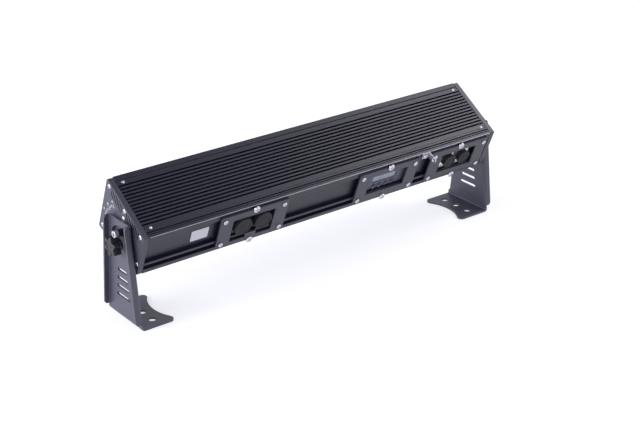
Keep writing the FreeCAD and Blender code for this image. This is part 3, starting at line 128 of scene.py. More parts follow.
class Shading:
    """One procedural material and the nodes in it."""

    def __init__(self, name: str) -> None:
        """Start an empty material.

        Args:
            name: name of the material.
        """
        self.material = bpy.data.materials.new(name)
        self.material.use_nodes = True
        self.tree = self.material.node_tree
        self.tree.nodes.clear()

    def add(self, kind: str, settings: dict[str, object] | None = None,
            inputs: dict[object, object] | None = None) -> bpy.types.Node:
        """Add a node, set its settings first and its sockets after them.

        Args:
            kind: type of the node.
            settings: attributes of the node.
            inputs: values, sockets or Values by socket name or number.

        Returns:
            The new node.
        """
        node = self.tree.nodes.new(kind)
        for key, setting in (settings or {}).items():
            setattr(node, key, setting)
        for key, given in (inputs or {}).items():
            target = node.inputs[key]
            if isinstance(given, Value):
                self.tree.links.new(given.socket, target)
            elif isinstance(given, bpy.types.NodeSocket):
                self.tree.links.new(given, target)
            else:
                target.default_value = given
        return node

    def value(self, kind: str, settings: dict[str, object] | None = None,
              inputs: dict[object, object] | None = None, output: int | str = 0) -> Value:
        """Add a node and wrap one of its outputs.

        Args:
            kind: type of the node.
            settings: attributes of the node.
            inputs: values or links of its sockets.
            output: which output to wrap.

        Returns:
            The wrapped output.
        """
        return Value(self, self.add(kind, settings, inputs).outputs[output])

    def place(self, stretch: Colour = (1.0, 1.0, 1.0), turn_x: float = 0.0) -> bpy.types.NodeSocket:
        """Object coordinates in metres, stretched and turned about X.

        Args:
            stretch: factor along each axis.
            turn_x: turn about X in radians.

        Returns:
            The vector socket.
        """
        spot = self.add("ShaderNodeTexCoord").outputs["Object"]
        return self.add("ShaderNodeMapping", {"vector_type": "POINT"},
                        {"Vector": spot, "Scale": stretch, "Rotation": (turn_x, 0.0, 0.0)}
                        ).outputs["Vector"]

    def noise(self, size: float, detail: float = 2.0, stretch: Colour = (1.0, 1.0, 1.0),
              turn_x: float = 0.0) -> Value:
        """Noise whose features have a real size.

        Args:
            size: size of a feature in metres.
            detail: octaves of detail.
            stretch: factor along each axis.
            turn_x: turn about X in radians.

        Returns:
            The noise, round 0.5.
        """
        return self.value("ShaderNodeTexNoise", {"noise_dimensions": "3D"},
                          {"Vector": self.place(stretch, turn_x), "Scale": 1.0 / size,
                           "Detail": detail, "Roughness": 0.55}, "Fac")

    def cells(self, size: float) -> Value:
        """Distance to the nearest of many scattered points.

        Args:
            size: spacing of the points in metres.

        Returns:
            The distance in units of the spacing.
        """
        return self.value("ShaderNodeTexVoronoi", {"feature": "F1"},
                          {"Vector": self.place(), "Scale": 1.0 / size}, "Distance")

    def blend(self, factor: Value | float, low: Colour | bpy.types.NodeSocket,
              high: Colour | bpy.types.NodeSocket) -> bpy.types.NodeSocket:
        """Mix two colours.

        Args:
            factor: share of the second colour.
            low: first colour.
            high: second colour.

        Returns:
            The mixed colour's socket.
        """
        def colour(given: Colour | bpy.types.NodeSocket) -> object:
            """Give a plain colour its alpha."""
            return (*given, 1.0) if isinstance(given, tuple) else given

        node = self.add("ShaderNodeMix", {"data_type": "RGBA"},
                        {0: factor, 6: colour(low), 7: colour(high)})
        return node.outputs[2]

    def rounded(self, radius: float) -> bpy.types.NodeSocket:
        """Normal that rounds the solid's sharp edges.

        Args:
            radius: radius of the rounding in metres.

        Returns:
            The normal's socket.
        """
        return self.add("ShaderNodeBevel", {"samples": 4}, {"Radius": radius}).outputs["Normal"]

    def edges(self, radius: float) -> Value:
        """How close a point is to a sharp edge.

        Args:
            radius: reach of the mask in metres.

        Returns:
            0 on flats and up to 1 on edges.
        """
        true_normal = self.add("ShaderNodeNewGeometry").outputs["Normal"]
        facing = self.value("ShaderNodeVectorMath", {"operation": "DOT_PRODUCT"},
                            {0: self.rounded(radius), 1: true_normal}, "Value")
        return 1.0 - facing.ramp(0.86, 0.995)

    def bump(self, height: Value, distance: float, strength: float,
             normal: bpy.types.NodeSocket | None = None) -> bpy.types.NodeSocket:
        """Bump from a height.

        Args:
            height: the height, 0 to 1.
            distance: real depth in metres.
            strength: strength of the effect.
            normal: normal that it builds on.

        Returns:
            The normal's socket.
        """
        inputs: dict[object, object] = {"Height": height, "Distance": distance, "Strength": strength}
        if normal is not None:
            inputs["Normal"] = normal
        return self.add("ShaderNodeBump", None, inputs).outputs["Normal"]

    def surface(self, inputs: dict[object, object]) -> bpy.types.Material:
        """Close the material with one Principled shader.

        Args:
            inputs: values or links of the shader's sockets.

        Returns:
            The finished material.
        """
        shader = self.add("ShaderNodeBsdfPrincipled", None, inputs)
        self.add("ShaderNodeOutputMaterial", None, {"Surface": shader.outputs["BSDF"]})
        return self.material


# ---------------------------------------------------------------------------
# Finishes
# ---------------------------------------------------------------------------

@dataclass(frozen=True)
class PowderCoat:
    """Fine textured powder coat on sheet metal."""

    name: str
    colour: Colour = (0.040, 0.040, 0.056)
    worn: Colour = (0.12, 0.12, 0.15)
    roughness: float = 0.38
    grain: float = 0.0007
    depth: float = 0.00005

    def material(self) -> bpy.types.Material:
        """Build the material."""
        shading = Shading(self.name)
        speckle = shading.noise(self.grain, 3.0)
        cloud = shading.noise(0.06, 2.0)
        edge = shading.edges(0.0006)
        base = shading.blend(cloud, self.colour, tuple(1.25 * part for part in self.colour))
        colour = shading.blend(edge * speckle.ramp(0.35, 0.7) * 0.6, base, self.worn)
        pits = shading.cells(self.grain * 1.6)
        normal = shading.bump(speckle * 0.7 + pits * 0.3, self.depth, 0.55, shading.rounded(0.0004))
        return shading.surface({
            "Base Color": colour, "Roughness": self.roughness + 0.12 * cloud - 0.1 * edge,
            "Normal": normal, "IOR": 1.58})


@dataclass(frozen=True)
class Anodised:
    """Black anodised extrusion with faint draw lines along the bar and pale edges: a painted highlight,
    partly edge wear.
    """

    name: str
    colour: Colour = (0.008, 0.008, 0.019)
    # Pale colour of the edges: painted highlight along the fins, partly edge wear.
    worn: Colour = (0.17, 0.17, 0.24)
    roughness: float = 0.34

    def material(self) -> bpy.types.Material:
        """Build the material."""
        shading = Shading(self.name)
        lines = shading.noise(0.0006, 2.0, (0.01, 1.0, 1.0))
        grain = shading.noise(0.0004, 2.0)
        cloud = shading.noise(0.09, 2.0, (0.4, 1.0, 1.0))
        edge = shading.edges(0.0006)
        base = shading.blend(cloud * 0.7 + lines * 0.3, self.colour,
                             tuple(1.5 * part for part in self.colour))
        # Edges are mixed towards the pale colour: painted highlight along the fin edges, partly edge wear.
        colour = shading.blend(edge * (0.3 + 0.5 * grain.ramp(0.3, 0.75)), base, self.worn)
        normal = shading.bump(lines * 0.7 + grain * 0.3, 0.00003, 0.4, shading.rounded(0.00035))
        return shading.surface({
            "Base Color": colour, "Roughness": self.roughness + 0.14 * lines - 0.08 * edge,
            "Normal": normal, "IOR": 1.55})


@dataclass(frozen=True)
class BrightMetal:
    """Plated or turned metal with fine scratches."""

    name: str
    colour: Colour = (0.72, 0.72, 0.76)
    dark: Colour = (0.45, 0.45, 0.50)
    roughness: float = 0.24
    scratch: float = 0.0005

    def material(self) -> bpy.types.Material:
        """Build the material."""
        shading = Shading(self.name)
        scratches = shading.noise(self.scratch, 2.0, (1.0, 0.15, 0.15))
        dirt = shading.noise(0.004, 4.0)
        colour = shading.blend(dirt.ramp(0.35, 0.8) * 0.6, self.colour, self.dark)
        normal = shading.bump(scratches, 0.00002, 0.35, shading.rounded(0.0002))
        return shading.surface({
            "Base Color": colour, "Metallic": 1.0,
            "Roughness": self.roughness + 0.2 * scratches, "Normal": normal})


@dataclass(frozen=True)
class Moulded:
    """Moulded plastic or rubber with a fine spark texture."""

    name: str
    colour: Colour = (0.014, 0.014, 0.017)
    scuffed: Colour = (0.06, 0.06, 0.066)
    roughness: float = 0.42
    grain: float = 0.0005
    depth: float = 0.00003
    ior: float = 1.48

    def material(self) -> bpy.types.Material:
        """Build the material."""
        shading = Shading(self.name)
        grain = shading.noise(self.grain, 3.0)
        cloud = shading.noise(0.012, 3.0)
        edge = shading.edges(0.0005)
        base = shading.blend(cloud, self.colour, tuple(1.5 * part for part in self.colour))
        colour = shading.blend(edge * cloud.ramp(0.3, 0.7) * 0.5, base, self.scuffed)
        normal = shading.bump(grain, self.depth, 0.5, shading.rounded(0.0003))
        return shading.surface({
            "Base Color": colour, "Roughness": self.roughness + 0.15 * cloud,
            "Normal": normal, "IOR": self.ior})


@dataclass(frozen=True)
class ClearGlass:
    """Clear glass or clear plastic with faint smears."""

    name: str
    colour: Colour = (0.93, 0.97, 0.97)
    roughness: float = 0.04
    ior: float = 1.5

    def material(self) -> bpy.types.Material:
        """Build the material."""
        shading = Shading(self.name)
        smear = shading.noise(0.03, 4.0, (0.5, 1.0, 1.0))
        ripple = shading.noise(0.02, 1.0)
        return shading.surface({
            "Base Color": shading.blend(smear, self.colour, tuple(0.97 * part for part in self.colour)),
            "Roughness": self.roughness + 0.08 * smear.ramp(0.5, 0.8),
            "Transmission Weight": 1.0, "IOR": self.ior,
            "Normal": shading.bump(ripple, 0.00002, 0.2)})


@dataclass(frozen=True)
class Printed:
    """Printed ink, film or a painted board with slight unevenness."""

    name: str
    colour: Colour
    roughness: float = 0.5
    variation: float = 0.15
    glow: float = 0.0

    def material(self) -> bpy.types.Material:
        """Build the material."""
        shading = Shading(self.name)
        cloud = shading.noise(0.006, 3.0)
        fibre = shading.noise(0.0006, 2.0)
        dull = tuple((1.0 - self.variation) * part for part in self.colour)
        colour = shading.blend(cloud * 0.6 + fibre * 0.4, self.colour, dull)
        return shading.surface({
            "Base Color": colour, "Roughness": self.roughness + 0.12 * fibre,
            "Emission Color": colour, "Emission Strength": self.glow,
            "Normal": shading.bump(fibre, 0.00002, 0.3)})


@dataclass(frozen=True)
class CircuitBoard:
    """Solder mask with copper runs under it."""

    name: str
    colour: Colour = (0.02, 0.11, 0.045)
    copper: Colour = (0.05, 0.2, 0.09)

    def material(self) -> bpy.types.Material:
        """Build the material."""
        shading = Shading(self.name)
        runs = shading.noise(0.0015, 0.0, (0.12, 1.0, 1.0)).ramp(0.5, 0.56)
        cross = shading.noise(0.0015, 0.0, (1.0, 0.12, 1.0)).ramp(0.55, 0.6)
        mask = runs * 0.6 + cross * 0.4
        return shading.surface({
            "Base Color": shading.blend(mask, self.colour, self.copper),
            "Roughness": 0.35 + 0.1 * mask, "Normal": shading.bump(mask, 0.00003, 0.5)})


@dataclass(frozen=True)
class ZincSheet:
    """Galvanised sheet with a spangled grain."""

    name: str
    colour: Colour = (0.55, 0.56, 0.58)

    def material(self) -> bpy.types.Material:
        """Build the material."""
        shading = Shading(self.name)
        spangle = shading.cells(0.006)
        fine = shading.noise(0.0008, 3.0)
        return shading.surface({
            "Base Color": shading.blend(spangle, self.colour, (0.38, 0.39, 0.41)),
            "Metallic": 1.0, "Roughness": 0.35 + 0.25 * spangle,
            "Normal": shading.bump(fine, 0.00002, 0.3, shading.rounded(0.0004))})


class Finishes(Enum):
    """The finishes of the light, each with the record's material slot."""

    BAR = ("black_anodised", Anodised("black_anodised_bar"))
    PLATE = ("black_powder_coat", PowderCoat("powder_coat_plate"))
    BRACKET = ("black_powder_coat", PowderCoat("powder_coat_bracket", (0.060, 0.060, 0.084), grain=0.0009))
    SCREW = ("bright_screws", BrightMetal("bright_zinc"))
    SLEEVE = ("black_steel", BrightMetal("black_oxide", (0.05, 0.05, 0.055), (0.03, 0.03, 0.03), 0.4))
    NICKEL = ("nickel_die_cast", BrightMetal("nickel_die_cast", (0.78, 0.78, 0.8), (0.55, 0.55, 0.58)))
    KNOB = ("black_plastic", Moulded("moulded_knob", roughness=0.34))
    PLASTIC = ("black_plastic", Moulded("moulded_plastic"))
    RUBBER = ("black_rubber", Moulded("black_rubber", roughness=0.6, grain=0.0008, ior=1.45))
    PANEL = ("black_plastic", Moulded("panel_film", (0.105, 0.107, 0.14), (0.16, 0.16, 0.18), 0.38))
    BUTTON = ("black_plastic", Moulded("soft_button", (0.07, 0.072, 0.095), (0.12, 0.12, 0.14), 0.45))
    # Bright metal on the front lip's nose: a painted highlight along the lip's crest.
    RUBBED = ("black_anodised", BrightMetal("painted_lip_highlight", (0.42, 0.42, 0.48), (0.2, 0.2, 0.25), 0.3))
    EYE = ("bright_screws", BrightMetal("dull_zinc", (0.5, 0.5, 0.54), (0.25, 0.25, 0.28), 0.34))
    GLASS = ("clear_glass", ClearGlass("front_glass"))
    WINDOW = ("clear_window", ClearGlass("display_window", ior=1.46))
    LENS = ("clear_lens", ClearGlass("clear_lens", ior=1.49))
    FILM = ("pale_film", Printed("pale_film", (0.86, 0.86, 0.87), 0.4, 0.05))
    INK = ("black_powder_coat", Printed("white_ink", (0.85, 0.85, 0.88), 0.5, 0.1))
    SCREEN = ("lcd_grey", Printed("lcd_screen", (0.36, 0.40, 0.49), 0.25, 0.06, 0.12))
    SEGMENT = ("lcd_grey", Printed("lcd_segments", (0.15, 0.17, 0.21), 0.3, 0.1))
    LCD = ("lcd_grey", Printed("lcd_module", (0.16, 0.18, 0.17), 0.4, 0.2))
    BOARD = ("board_green", CircuitBoard("control_board"))
    WHITE_BOARD = ("board_white", Printed("white_solder_mask", (0.8, 0.8, 0.79), 0.35, 0.08))
    EMITTER = ("emitter_yellow", Printed("phosphor", (0.85, 0.68, 0.2), 0.3, 0.15))
    CASE = ("zinc_case", ZincSheet("zinc_case"))


class Wardrobe:
    """Builds each finish once and hands it out."""

    def __init__(self) -> None:
        """Start with no material built."""
        self._built: dict[Finishes, bpy.types.Material] = {}

    def material(self, finish: Finishes) -> bpy.types.Material:
        """Material of a finish, built on first use.

        Args:
            finish: which finish.

        Returns:
            The material.
        """
        if finish not in self._built:
            self._built[finish] = finish.value[1].material()
        return self._built[finish]

    def dress_node(self, node: str, finish: Finishes) -> None:
        """Give a CAD node its finish through its slots.

        Args:
            node: name of the node.
            finish: its finish.
        """
        for slot in frame["nodes"][node].material_slots:
            slot.material = self.material(finish)
        LOG.info("%s wears %s", node, finish.value[1].name)

    def dress_piece(self, piece: bpy.types.Object, finish: Finishes, body: str) -> None:
        """Finish a piece of the scene and let it ride on a body.

        Args:
            piece: the piece.
            finish: its finish.
            body: the body that it moves with.
        """
        piece.data.materials.clear()
        piece.data.materials.append(self.material(finish))
        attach(piece, body)
        LOG.info("%s rides on %s", piece.name, body)


# ---------------------------------------------------------------------------
# Mesh helpers
# ---------------------------------------------------------------------------

def mesh_object(name: str, mesh: bmesh.types.BMesh, smooth_angle: float = 35.0) -> bpy.types.Object:
    """Turn a bmesh into an object with smooth faces between sharp edges.

    Args:
        name: name of the piece.
        mesh: its mesh, freed here.
        smooth_angle: edges sharper than this stay sharp, in degrees.

    Returns:
        The linked object.
    """
    bmesh.ops.recalc_face_normals(mesh, faces=mesh.faces)
    for edge in mesh.edges:
        angle = edge.calc_face_angle(0.0) if edge.is_manifold else math.pi
        edge.smooth = angle < math.radians(smooth_angle)
    for face in mesh.faces:
        face.smooth = True
    data = bpy.data.meshes.new(name)
    mesh.to_mesh(data)
    mesh.free()
    piece = bpy.data.objects.new(name, data)
    bpy.context.scene.collection.objects.link(piece)
    return piece


def revolve(profile: Profile, segments: int = 48,
            radius_at: Callable[[float, float], float] | None = None) -> bmesh.types.BMesh:
    """Closed solid of revolution about Z.

    Args:
        profile: (radius, z) points from the axis at one end to the axis at the other.
        segments: points in each ring.
        radius_at: changes a radius at an angle, for lobes and ribs.

    Returns:
        The mesh.
    """
    mesh = bmesh.new()
    rings: list[list[bmesh.types.BMVert]] = []
    for radius, z in profile:
        if radius == 0.0:
            rings.append([mesh.verts.new((0.0, 0.0, z))])
            continue
        ring = []
        for step in range(segments):
            angle = 2.0 * math.pi * step / segments
            reach = radius_at(radius, angle) if radius_at else radius
            ring.append(mesh.verts.new((reach * math.cos(angle), reach * math.sin(angle), z)))
        rings.append(ring)
    for low, high in zip(rings[:-1], rings[1:]):
        for step in range(segments):
            after = (step + 1) % segments
            if len(low) == 1:
                mesh.faces.new((low[0], high[step], high[after]))
            elif len(high) == 1:
                mesh.faces.new((low[step], low[after], high[0]))
            else:
                mesh.faces.new((low[step], low[after], high[after], high[step]))
    return mesh


def prism(outline: Profile, low: float, high: float, taper: float = 1.0) -> bmesh.types.BMesh:
    """Closed prism along Z over an outline.

    Args:
        outline: (x, y) points.
        low: z of the first end.
        high: z of the second end.
        taper: scale of the second end.

    Returns:
        The mesh.
    """
    mesh = bmesh.new()
    bottom = [mesh.verts.new((x, y, low)) for x, y in outline]
    top = [mesh.verts.new((x * taper, y * taper, high)) for x, y in outline]
    mesh.faces.new(list(reversed(bottom)))
    mesh.faces.new(top)
    count = len(outline)
    for step in range(count):
        after = (step + 1) % count
        mesh.faces.new((bottom[step], bottom[after], top[after], top[step]))
    return mesh


def joined(name: str, meshes: Iterable[tuple[bpy.types.Mesh, Matrix]]) -> bpy.types.Object:
    """One object from several placed copies of meshes.

    Args:
        name: name of the piece.
        meshes: each mesh with its place.

    Returns:
        The linked object.
    """
    whole = bmesh.new()
    for data, place in meshes:
        part = bmesh.new()
        part.from_mesh(data)
        bmesh.ops.transform(part, matrix=place, verts=part.verts)
        carrier = bpy.data.meshes.new("carrier")
        part.to_mesh(carrier)
        part.free()
        whole.from_mesh(carrier)
        bpy.data.meshes.remove(carrier)
    return mesh_object(name, whole)


def cut_mesh(body: bmesh.types.BMesh, tool: bmesh.types.BMesh) -> bpy.types.Mesh:
    """Cut one closed mesh out of another.

    Args:
        body: mesh that is cut, freed here.
        tool: mesh that cuts, freed here.

    Returns:
        The cut mesh's data.
    """
    body_object = mesh_object("cut_body", body)
    tool_object = mesh_object("cut_tool", tool)
    cut = body_object.modifiers.new("cut", "BOOLEAN")
    cut.operation = "DIFFERENCE"
    cut.solver = "EXACT"
    cut.object = tool_object
    graph = bpy.context.evaluated_depsgraph_get()
    data = bpy.data.meshes.new_from_object(body_object.evaluated_get(graph))
    for helper in (body_object, tool_object):
        bpy.data.objects.remove(helper, do_unlink=True)
    return data


def facing(axis: Vector, spot: Vector, spin: float = 0.0) -> Matrix:
    """Place that turns +Z to an axis and moves the origin to a spot.

    Args:
        axis: where +Z goes.
        spot: where the origin goes.
        spin: turn about the axis first, in radians.

    Returns:
        The matrix.
    """
    turn = axis.to_track_quat("Z", "Y").to_matrix().to_4x4()
    return Matrix.Translation(spot) @ turn @ Matrix.Rotation(spin, 4, "Z")


def solids_of(node: str) -> list[list[Vector]]:
    """Corner points of each separate solid of a CAD node.

    Args:
        node: name of the node.

    Returns:
        One list of points for each solid, from left to right.
    """
    mesh = bmesh.new()
    mesh.from_mesh(frame["nodes"][node].data)
    bmesh.ops.remove_doubles(mesh, verts=mesh.verts, dist=1e-6)
    seen: set[int] = set()
    solids = []
    mesh.verts.ensure_lookup_table()
    for start in mesh.verts:
        if start.index in seen:
            continue
        stack, points = [start], []
        seen.add(start.index)
        while stack:
            vertex = stack.pop()
            points.append(vertex.co.copy())
            for edge in vertex.link_edges:
                other = edge.other_vert(vertex)
                if other.index not in seen:
                    seen.add(other.index)
                    stack.append(other)
        solids.append(points)
    mesh.free()
    return sorted(solids, key=lambda points: min(point.x for point in points))


def ends_along(points: Sequence[Vector], axis: Vector) -> tuple[Vector, Vector]:
    """Middle of a round solid's inner and outer end along an axis.

    Args:
        points: corner points of the solid.
        axis: unit vector that points out of the surface.

    Returns:
        The inner and the outer point on the solid's own axis.
    """
    side = axis.orthogonal().normalized()
    up = axis.cross(side)
    def middle(direction: Vector) -> float:
        """Middle of the solid's reach in a direction."""
        reach = [point.dot(direction) for point in points]
        return (min(reach) + max(reach)) / 2.0
    across = side * middle(side) + up * middle(up)
    reach = [point.dot(axis) for point in points]
    return across + axis * min(reach), across + axis * max(reach)


# ---------------------------------------------------------------------------
# The tilting bar's own directions
# ---------------------------------------------------------------------------

@dataclass(frozen=True)
class BarDirections:
    """Places and directions in the tilting bar at rest."""

    tilt: float = math.radians(22.0)
    fin_slope: float = math.atan2(20.0, 104.5)
    end_x: float = 318.0 * MM

    @property
    def pivot(self) -> Vector:
        """Where the tilt axis crosses the left leg."""
        joint = next(joint for joint in frame["joints"] if joint["name"] == "tilt")
        return Vector(joint["pos_m"])

    @property
    def outward(self) -> Vector:
        """Out of the connector side."""
        return Vector((0.0, -math.cos(self.tilt), -math.sin(self.tilt)))

    @property
    def up(self) -> Vector:
        """Up along the connector side, away from the light face."""
        return Vector((0.0, -math.sin(self.tilt), math.cos(self.tilt)))

    @property
    def fin_normal(self) -> Vector:
        """Out of the fin face."""
        angle = self.tilt + self.fin_slope
        return Vector((0.0, -math.sin(angle), math.cos(angle)))

    def spot(self, x: float, y: float, z: float) -> Vector:
        """Point of the bar's section in the frame.

        Args:
            x: along the bar.
            y: towards the rear side, from the tilt axis.
            z: away from the light face, from the tilt axis.

        Returns:
            The point.
        """
        base = Vector((x, self.pivot.y, self.pivot.z))
        return base - self.outward * y + self.up * z


# ---------------------------------------------------------------------------
# Screws
# ---------------------------------------------------------------------------

class Drive(Enum):
    """Recess in a screw's head."""

    CROSS = "cross"
    HEX = "hex"


@dataclass
class ScrewShape:
    """A screw drawn along +Z with the top of its head at the origin."""

    head_radius: float
    head_height: float
    shank_radius: float
    dome: float = 0.55
    drive: Drive = Drive.CROSS
    knurls: int = 0

    def head_profile(self, length: float) -> list[tuple[float, float]]:
        """Outline of the screw from the tip to the top.

        Args:
            length: from the tip to the top of the head.

        Returns:
            (radius, z) points.
        """
        points = [(0.0, -length), (self.shank_radius * 0.7, -length),
                  (self.shank_radius, -length + 0.4 * self.shank_radius),
                  (self.shank_radius, -self.head_height), (self.head_radius * 0.97, -self.head_height),
                  (self.head_radius, -self.head_height * 0.92)]
        steps = 6
        for step in range(steps + 1):
            angle = math.pi / 2.0 * step / steps
            radius = self.head_radius * (1.0 - self.dome + self.dome * math.cos(angle))
            rise = self.head_height * (-self.dome + self.dome * math.sin(angle))
            points.append((radius, rise))
        points.append((0.0, 0.0))
        return points

    def recess(self) -> bmesh.types.BMesh:
        """Tool that cuts the drive recess."""
        depth = self.head_height * (0.6 if self.drive is Drive.CROSS else 0.5)
        if self.drive is Drive.HEX:
            reach = self.head_radius * 0.58
            outline = [(reach * math.cos(math.radians(60 * step + 30)),
                        reach * math.sin(math.radians(60 * step + 30))) for step in range(6)]
            return prism(outline, -depth, depth)
        arm, half = self.head_radius * 0.52, self.head_radius * 0.1
        outline = [(arm, half), (half, half), (half, arm), (-half, arm), (-half, half), (-arm, half),
                   (-arm, -half), (-half, -half), (-half, -arm), (half, -arm), (half, -half),
                   (arm, -half)]
        return prism(list(reversed(outline)), -depth, depth, 1.5)

    def mesh(self, length: float) -> bpy.types.Mesh:
        """Build the screw.

        Args:
            length: from the tip to the top of the head.

        Returns:
            The mesh's data.
        """
        def ribbed(radius: float, angle: float) -> float:
            """Knurl the side of the head only."""
            if self.knurls and radius > self.head_radius * 0.99:
                return radius * (1.0 - 0.02 * (0.5 + 0.5 * math.cos(self.knurls * angle)))
            return radius
        segments = max(40, 4 * self.knurls)
        return cut_mesh(revolve(self.head_profile(length), segments, ribbed), self.recess())


@dataclass
class Screws:
    """All the screws that show, each group on the CAD node that it stands for."""

    bar: BarDirections
    wardrobe: Wardrobe
    corner: ScrewShape = field(default_factory=lambda: ScrewShape(3.6 * MM, 2.2 * MM, 1.5 * MM))
    edge: ScrewShape = field(default_factory=lambda: ScrewShape(5.3 * MM, 2.6 * MM, 1.5 * MM, 0.6))
    end: ScrewShape = field(default_factory=lambda: ScrewShape(3.6 * MM, 2.6 * MM, 1.5 * MM))
    small: ScrewShape = field(default_factory=lambda: ScrewShape(2.3 * MM, 1.0 * MM, 1.2 * MM, 0.7))
    flange: ScrewShape = field(default_factory=lambda: ScrewShape(2.6 * MM, 1.0 * MM, 1.5 * MM, 0.7))
    bezel: ScrewShape = field(default_factory=lambda: ScrewShape(2.6 * MM, 1.2 * MM, 1.5 * MM, 0.2))

    def place_group(self, node: str, shape: ScrewShape, axis: Vector | None) -> None:
        """Put a screw on each solid of a CAD node and let it stand for the node.

        Args:
            node: the CAD node.
            shape: the screw's shape.
            axis: out of the surface, or None for screws in the two bar ends.
        """
        built: dict[float, bpy.types.Mesh] = {}
        placed = []
        for number, points in enumerate(solids_of(node)):
            out = axis or Vector((math.copysign(1.0, points[0].x), 0.0, 0.0))
            inner, outer = ends_along(points, out)
            length = round((outer - inner).length, 5)
            if length not in built:
                built[length] = shape.mesh(length)
            placed.append((built[length], facing(out, outer, 0.7 * number)))
        piece = joined(node + "_shown", placed)
        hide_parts(node)
        self.wardrobe.dress_piece(piece, Finishes.SCREW, "bar")

    def build(self) -> None:
        """Build every group."""
        out = self.bar.outward
        self.place_group("plate_corner_screws", self.corner, out)
        self.place_group("plate_edge_screws", self.edge, out)
        self.place_group("safety_eye_screw", self.corner, out)
        self.place_group("connector_screws", self.flange, out)
        self.place_group("end_plate_screws", self.end, None)
        self.place_group("fin_face_screws", self.small, self.bar.fin_normal)
        self.place_group("bezel_screws", self.bezel, -self.bar.up)


# ---------------------------------------------------------------------------
# Tilt hardware
# ---------------------------------------------------------------------------

@dataclass
class ClampKnob:
    """Lobed clamp knob with rounded lobes and a dished face."""

    bar: BarDirections
    wardrobe: Wardrobe
    radius: float = 15.0 * MM
    lobes: int = 6
    valley: float = 5.4 * MM
    height: float = 15.0 * MM
    hub_radius: float = 9.0 * MM
    hub_height: float = 3.0 * MM
    bore_radius: float = 4.0 * MM
    bore_depth: float = 9.0 * MM
    edge: float = 1.4 * MM

    def profile(self) -> list[tuple[float, float]]:
        """Outline from the bore's floor over the hub and body to the middle of the face."""
        body_low = self.hub_height
        points = [(0.0, self.bore_depth), (self.bore_radius, self.bore_depth), (self.bore_radius, 0.0),
                  (self.hub_radius - 0.5 * MM, 0.0), (self.hub_radius, 0.5 * MM),
                  (self.hub_radius, body_low)]
        for step in range(5):
            angle = math.pi / 2.0 * step / 4
            points.append((self.radius - self.edge + self.edge * math.sin(angle),
                           body_low + self.edge - self.edge * math.cos(angle)))
        for step in range(5):
            angle = math.pi / 2.0 * step / 4
            points.append((self.radius - self.edge + self.edge * math.cos(angle),
                           self.height - self.edge + self.edge * math.sin(angle)))
        points += [(self.hub_radius, self.height), (self.hub_radius - 0.8 * MM, self.height - 0.9 * MM),
                   (3.0 * MM, self.height - 0.9 * MM), (2.4 * MM, self.height - 0.4 * MM),
                   (0.0, self.height - 0.4 * MM)]
        return points

    def lobed(self, radius: float, angle: float) -> float:
        """Pull the rim in between the lobes.

        Args:
            radius: radius of the plain ring.
            angle: where on the ring.

        Returns:
            The radius there.
        """
        if radius <= self.hub_radius + 0.01 * MM:
            return radius
        share = (radius - self.hub_radius) / (self.radius - self.hub_radius)
        wave = (0.5 - 0.5 * math.cos(self.lobes * angle)) ** 0.8
        return radius - self.valley * share * wave

    def build(self) -> None:
        """Build both knobs in place of their CAD nodes."""
        for side, name in ((-1.0, "left_knob"), (1.0, "right_knob")):
            low, high = (Vector(corner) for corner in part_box(name))
            inner_x = high.x if side < 0 else low.x
            spot = Vector((inner_x, self.bar.pivot.y, self.bar.pivot.z))
            data = mesh_object("knob_pattern", revolve(self.profile(), 120, self.lobed))
            piece = joined(name + "_shown", [(data.data, facing(Vector((side, 0.0, 0.0)), spot, 0.35))])
            bpy.data.objects.remove(data, do_unlink=True)
            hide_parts(name)
            self.wardrobe.dress_piece(piece, Finishes.KNOB, name)


@dataclass
class GuideScrews:
    """Knurled cap screws that run in the arc slots."""

    bar: BarDirections
    wardrobe: Wardrobe
    shape: ScrewShape = field(default_factory=lambda: ScrewShape(
        5.0 * MM, 6.0 * MM, 3.0 * MM, 0.12, Drive.HEX, 36))

    def build(self) -> None:
        """Build both screws in place of their CAD nodes."""
        for side, name in ((-1.0, "left_guide_screw"), (1.0, "right_guide_screw")):
            axis = Vector((side, 0.0, 0.0))
            inner, outer = ends_along(solids_of(name)[0], axis)
            piece = joined(name + "_shown", [(self.shape.mesh((outer - inner).length),
                                              facing(axis, outer, 0.2))])
            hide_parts(name)
            self.wardrobe.dress_piece(piece, Finishes.SCREW, "bar")


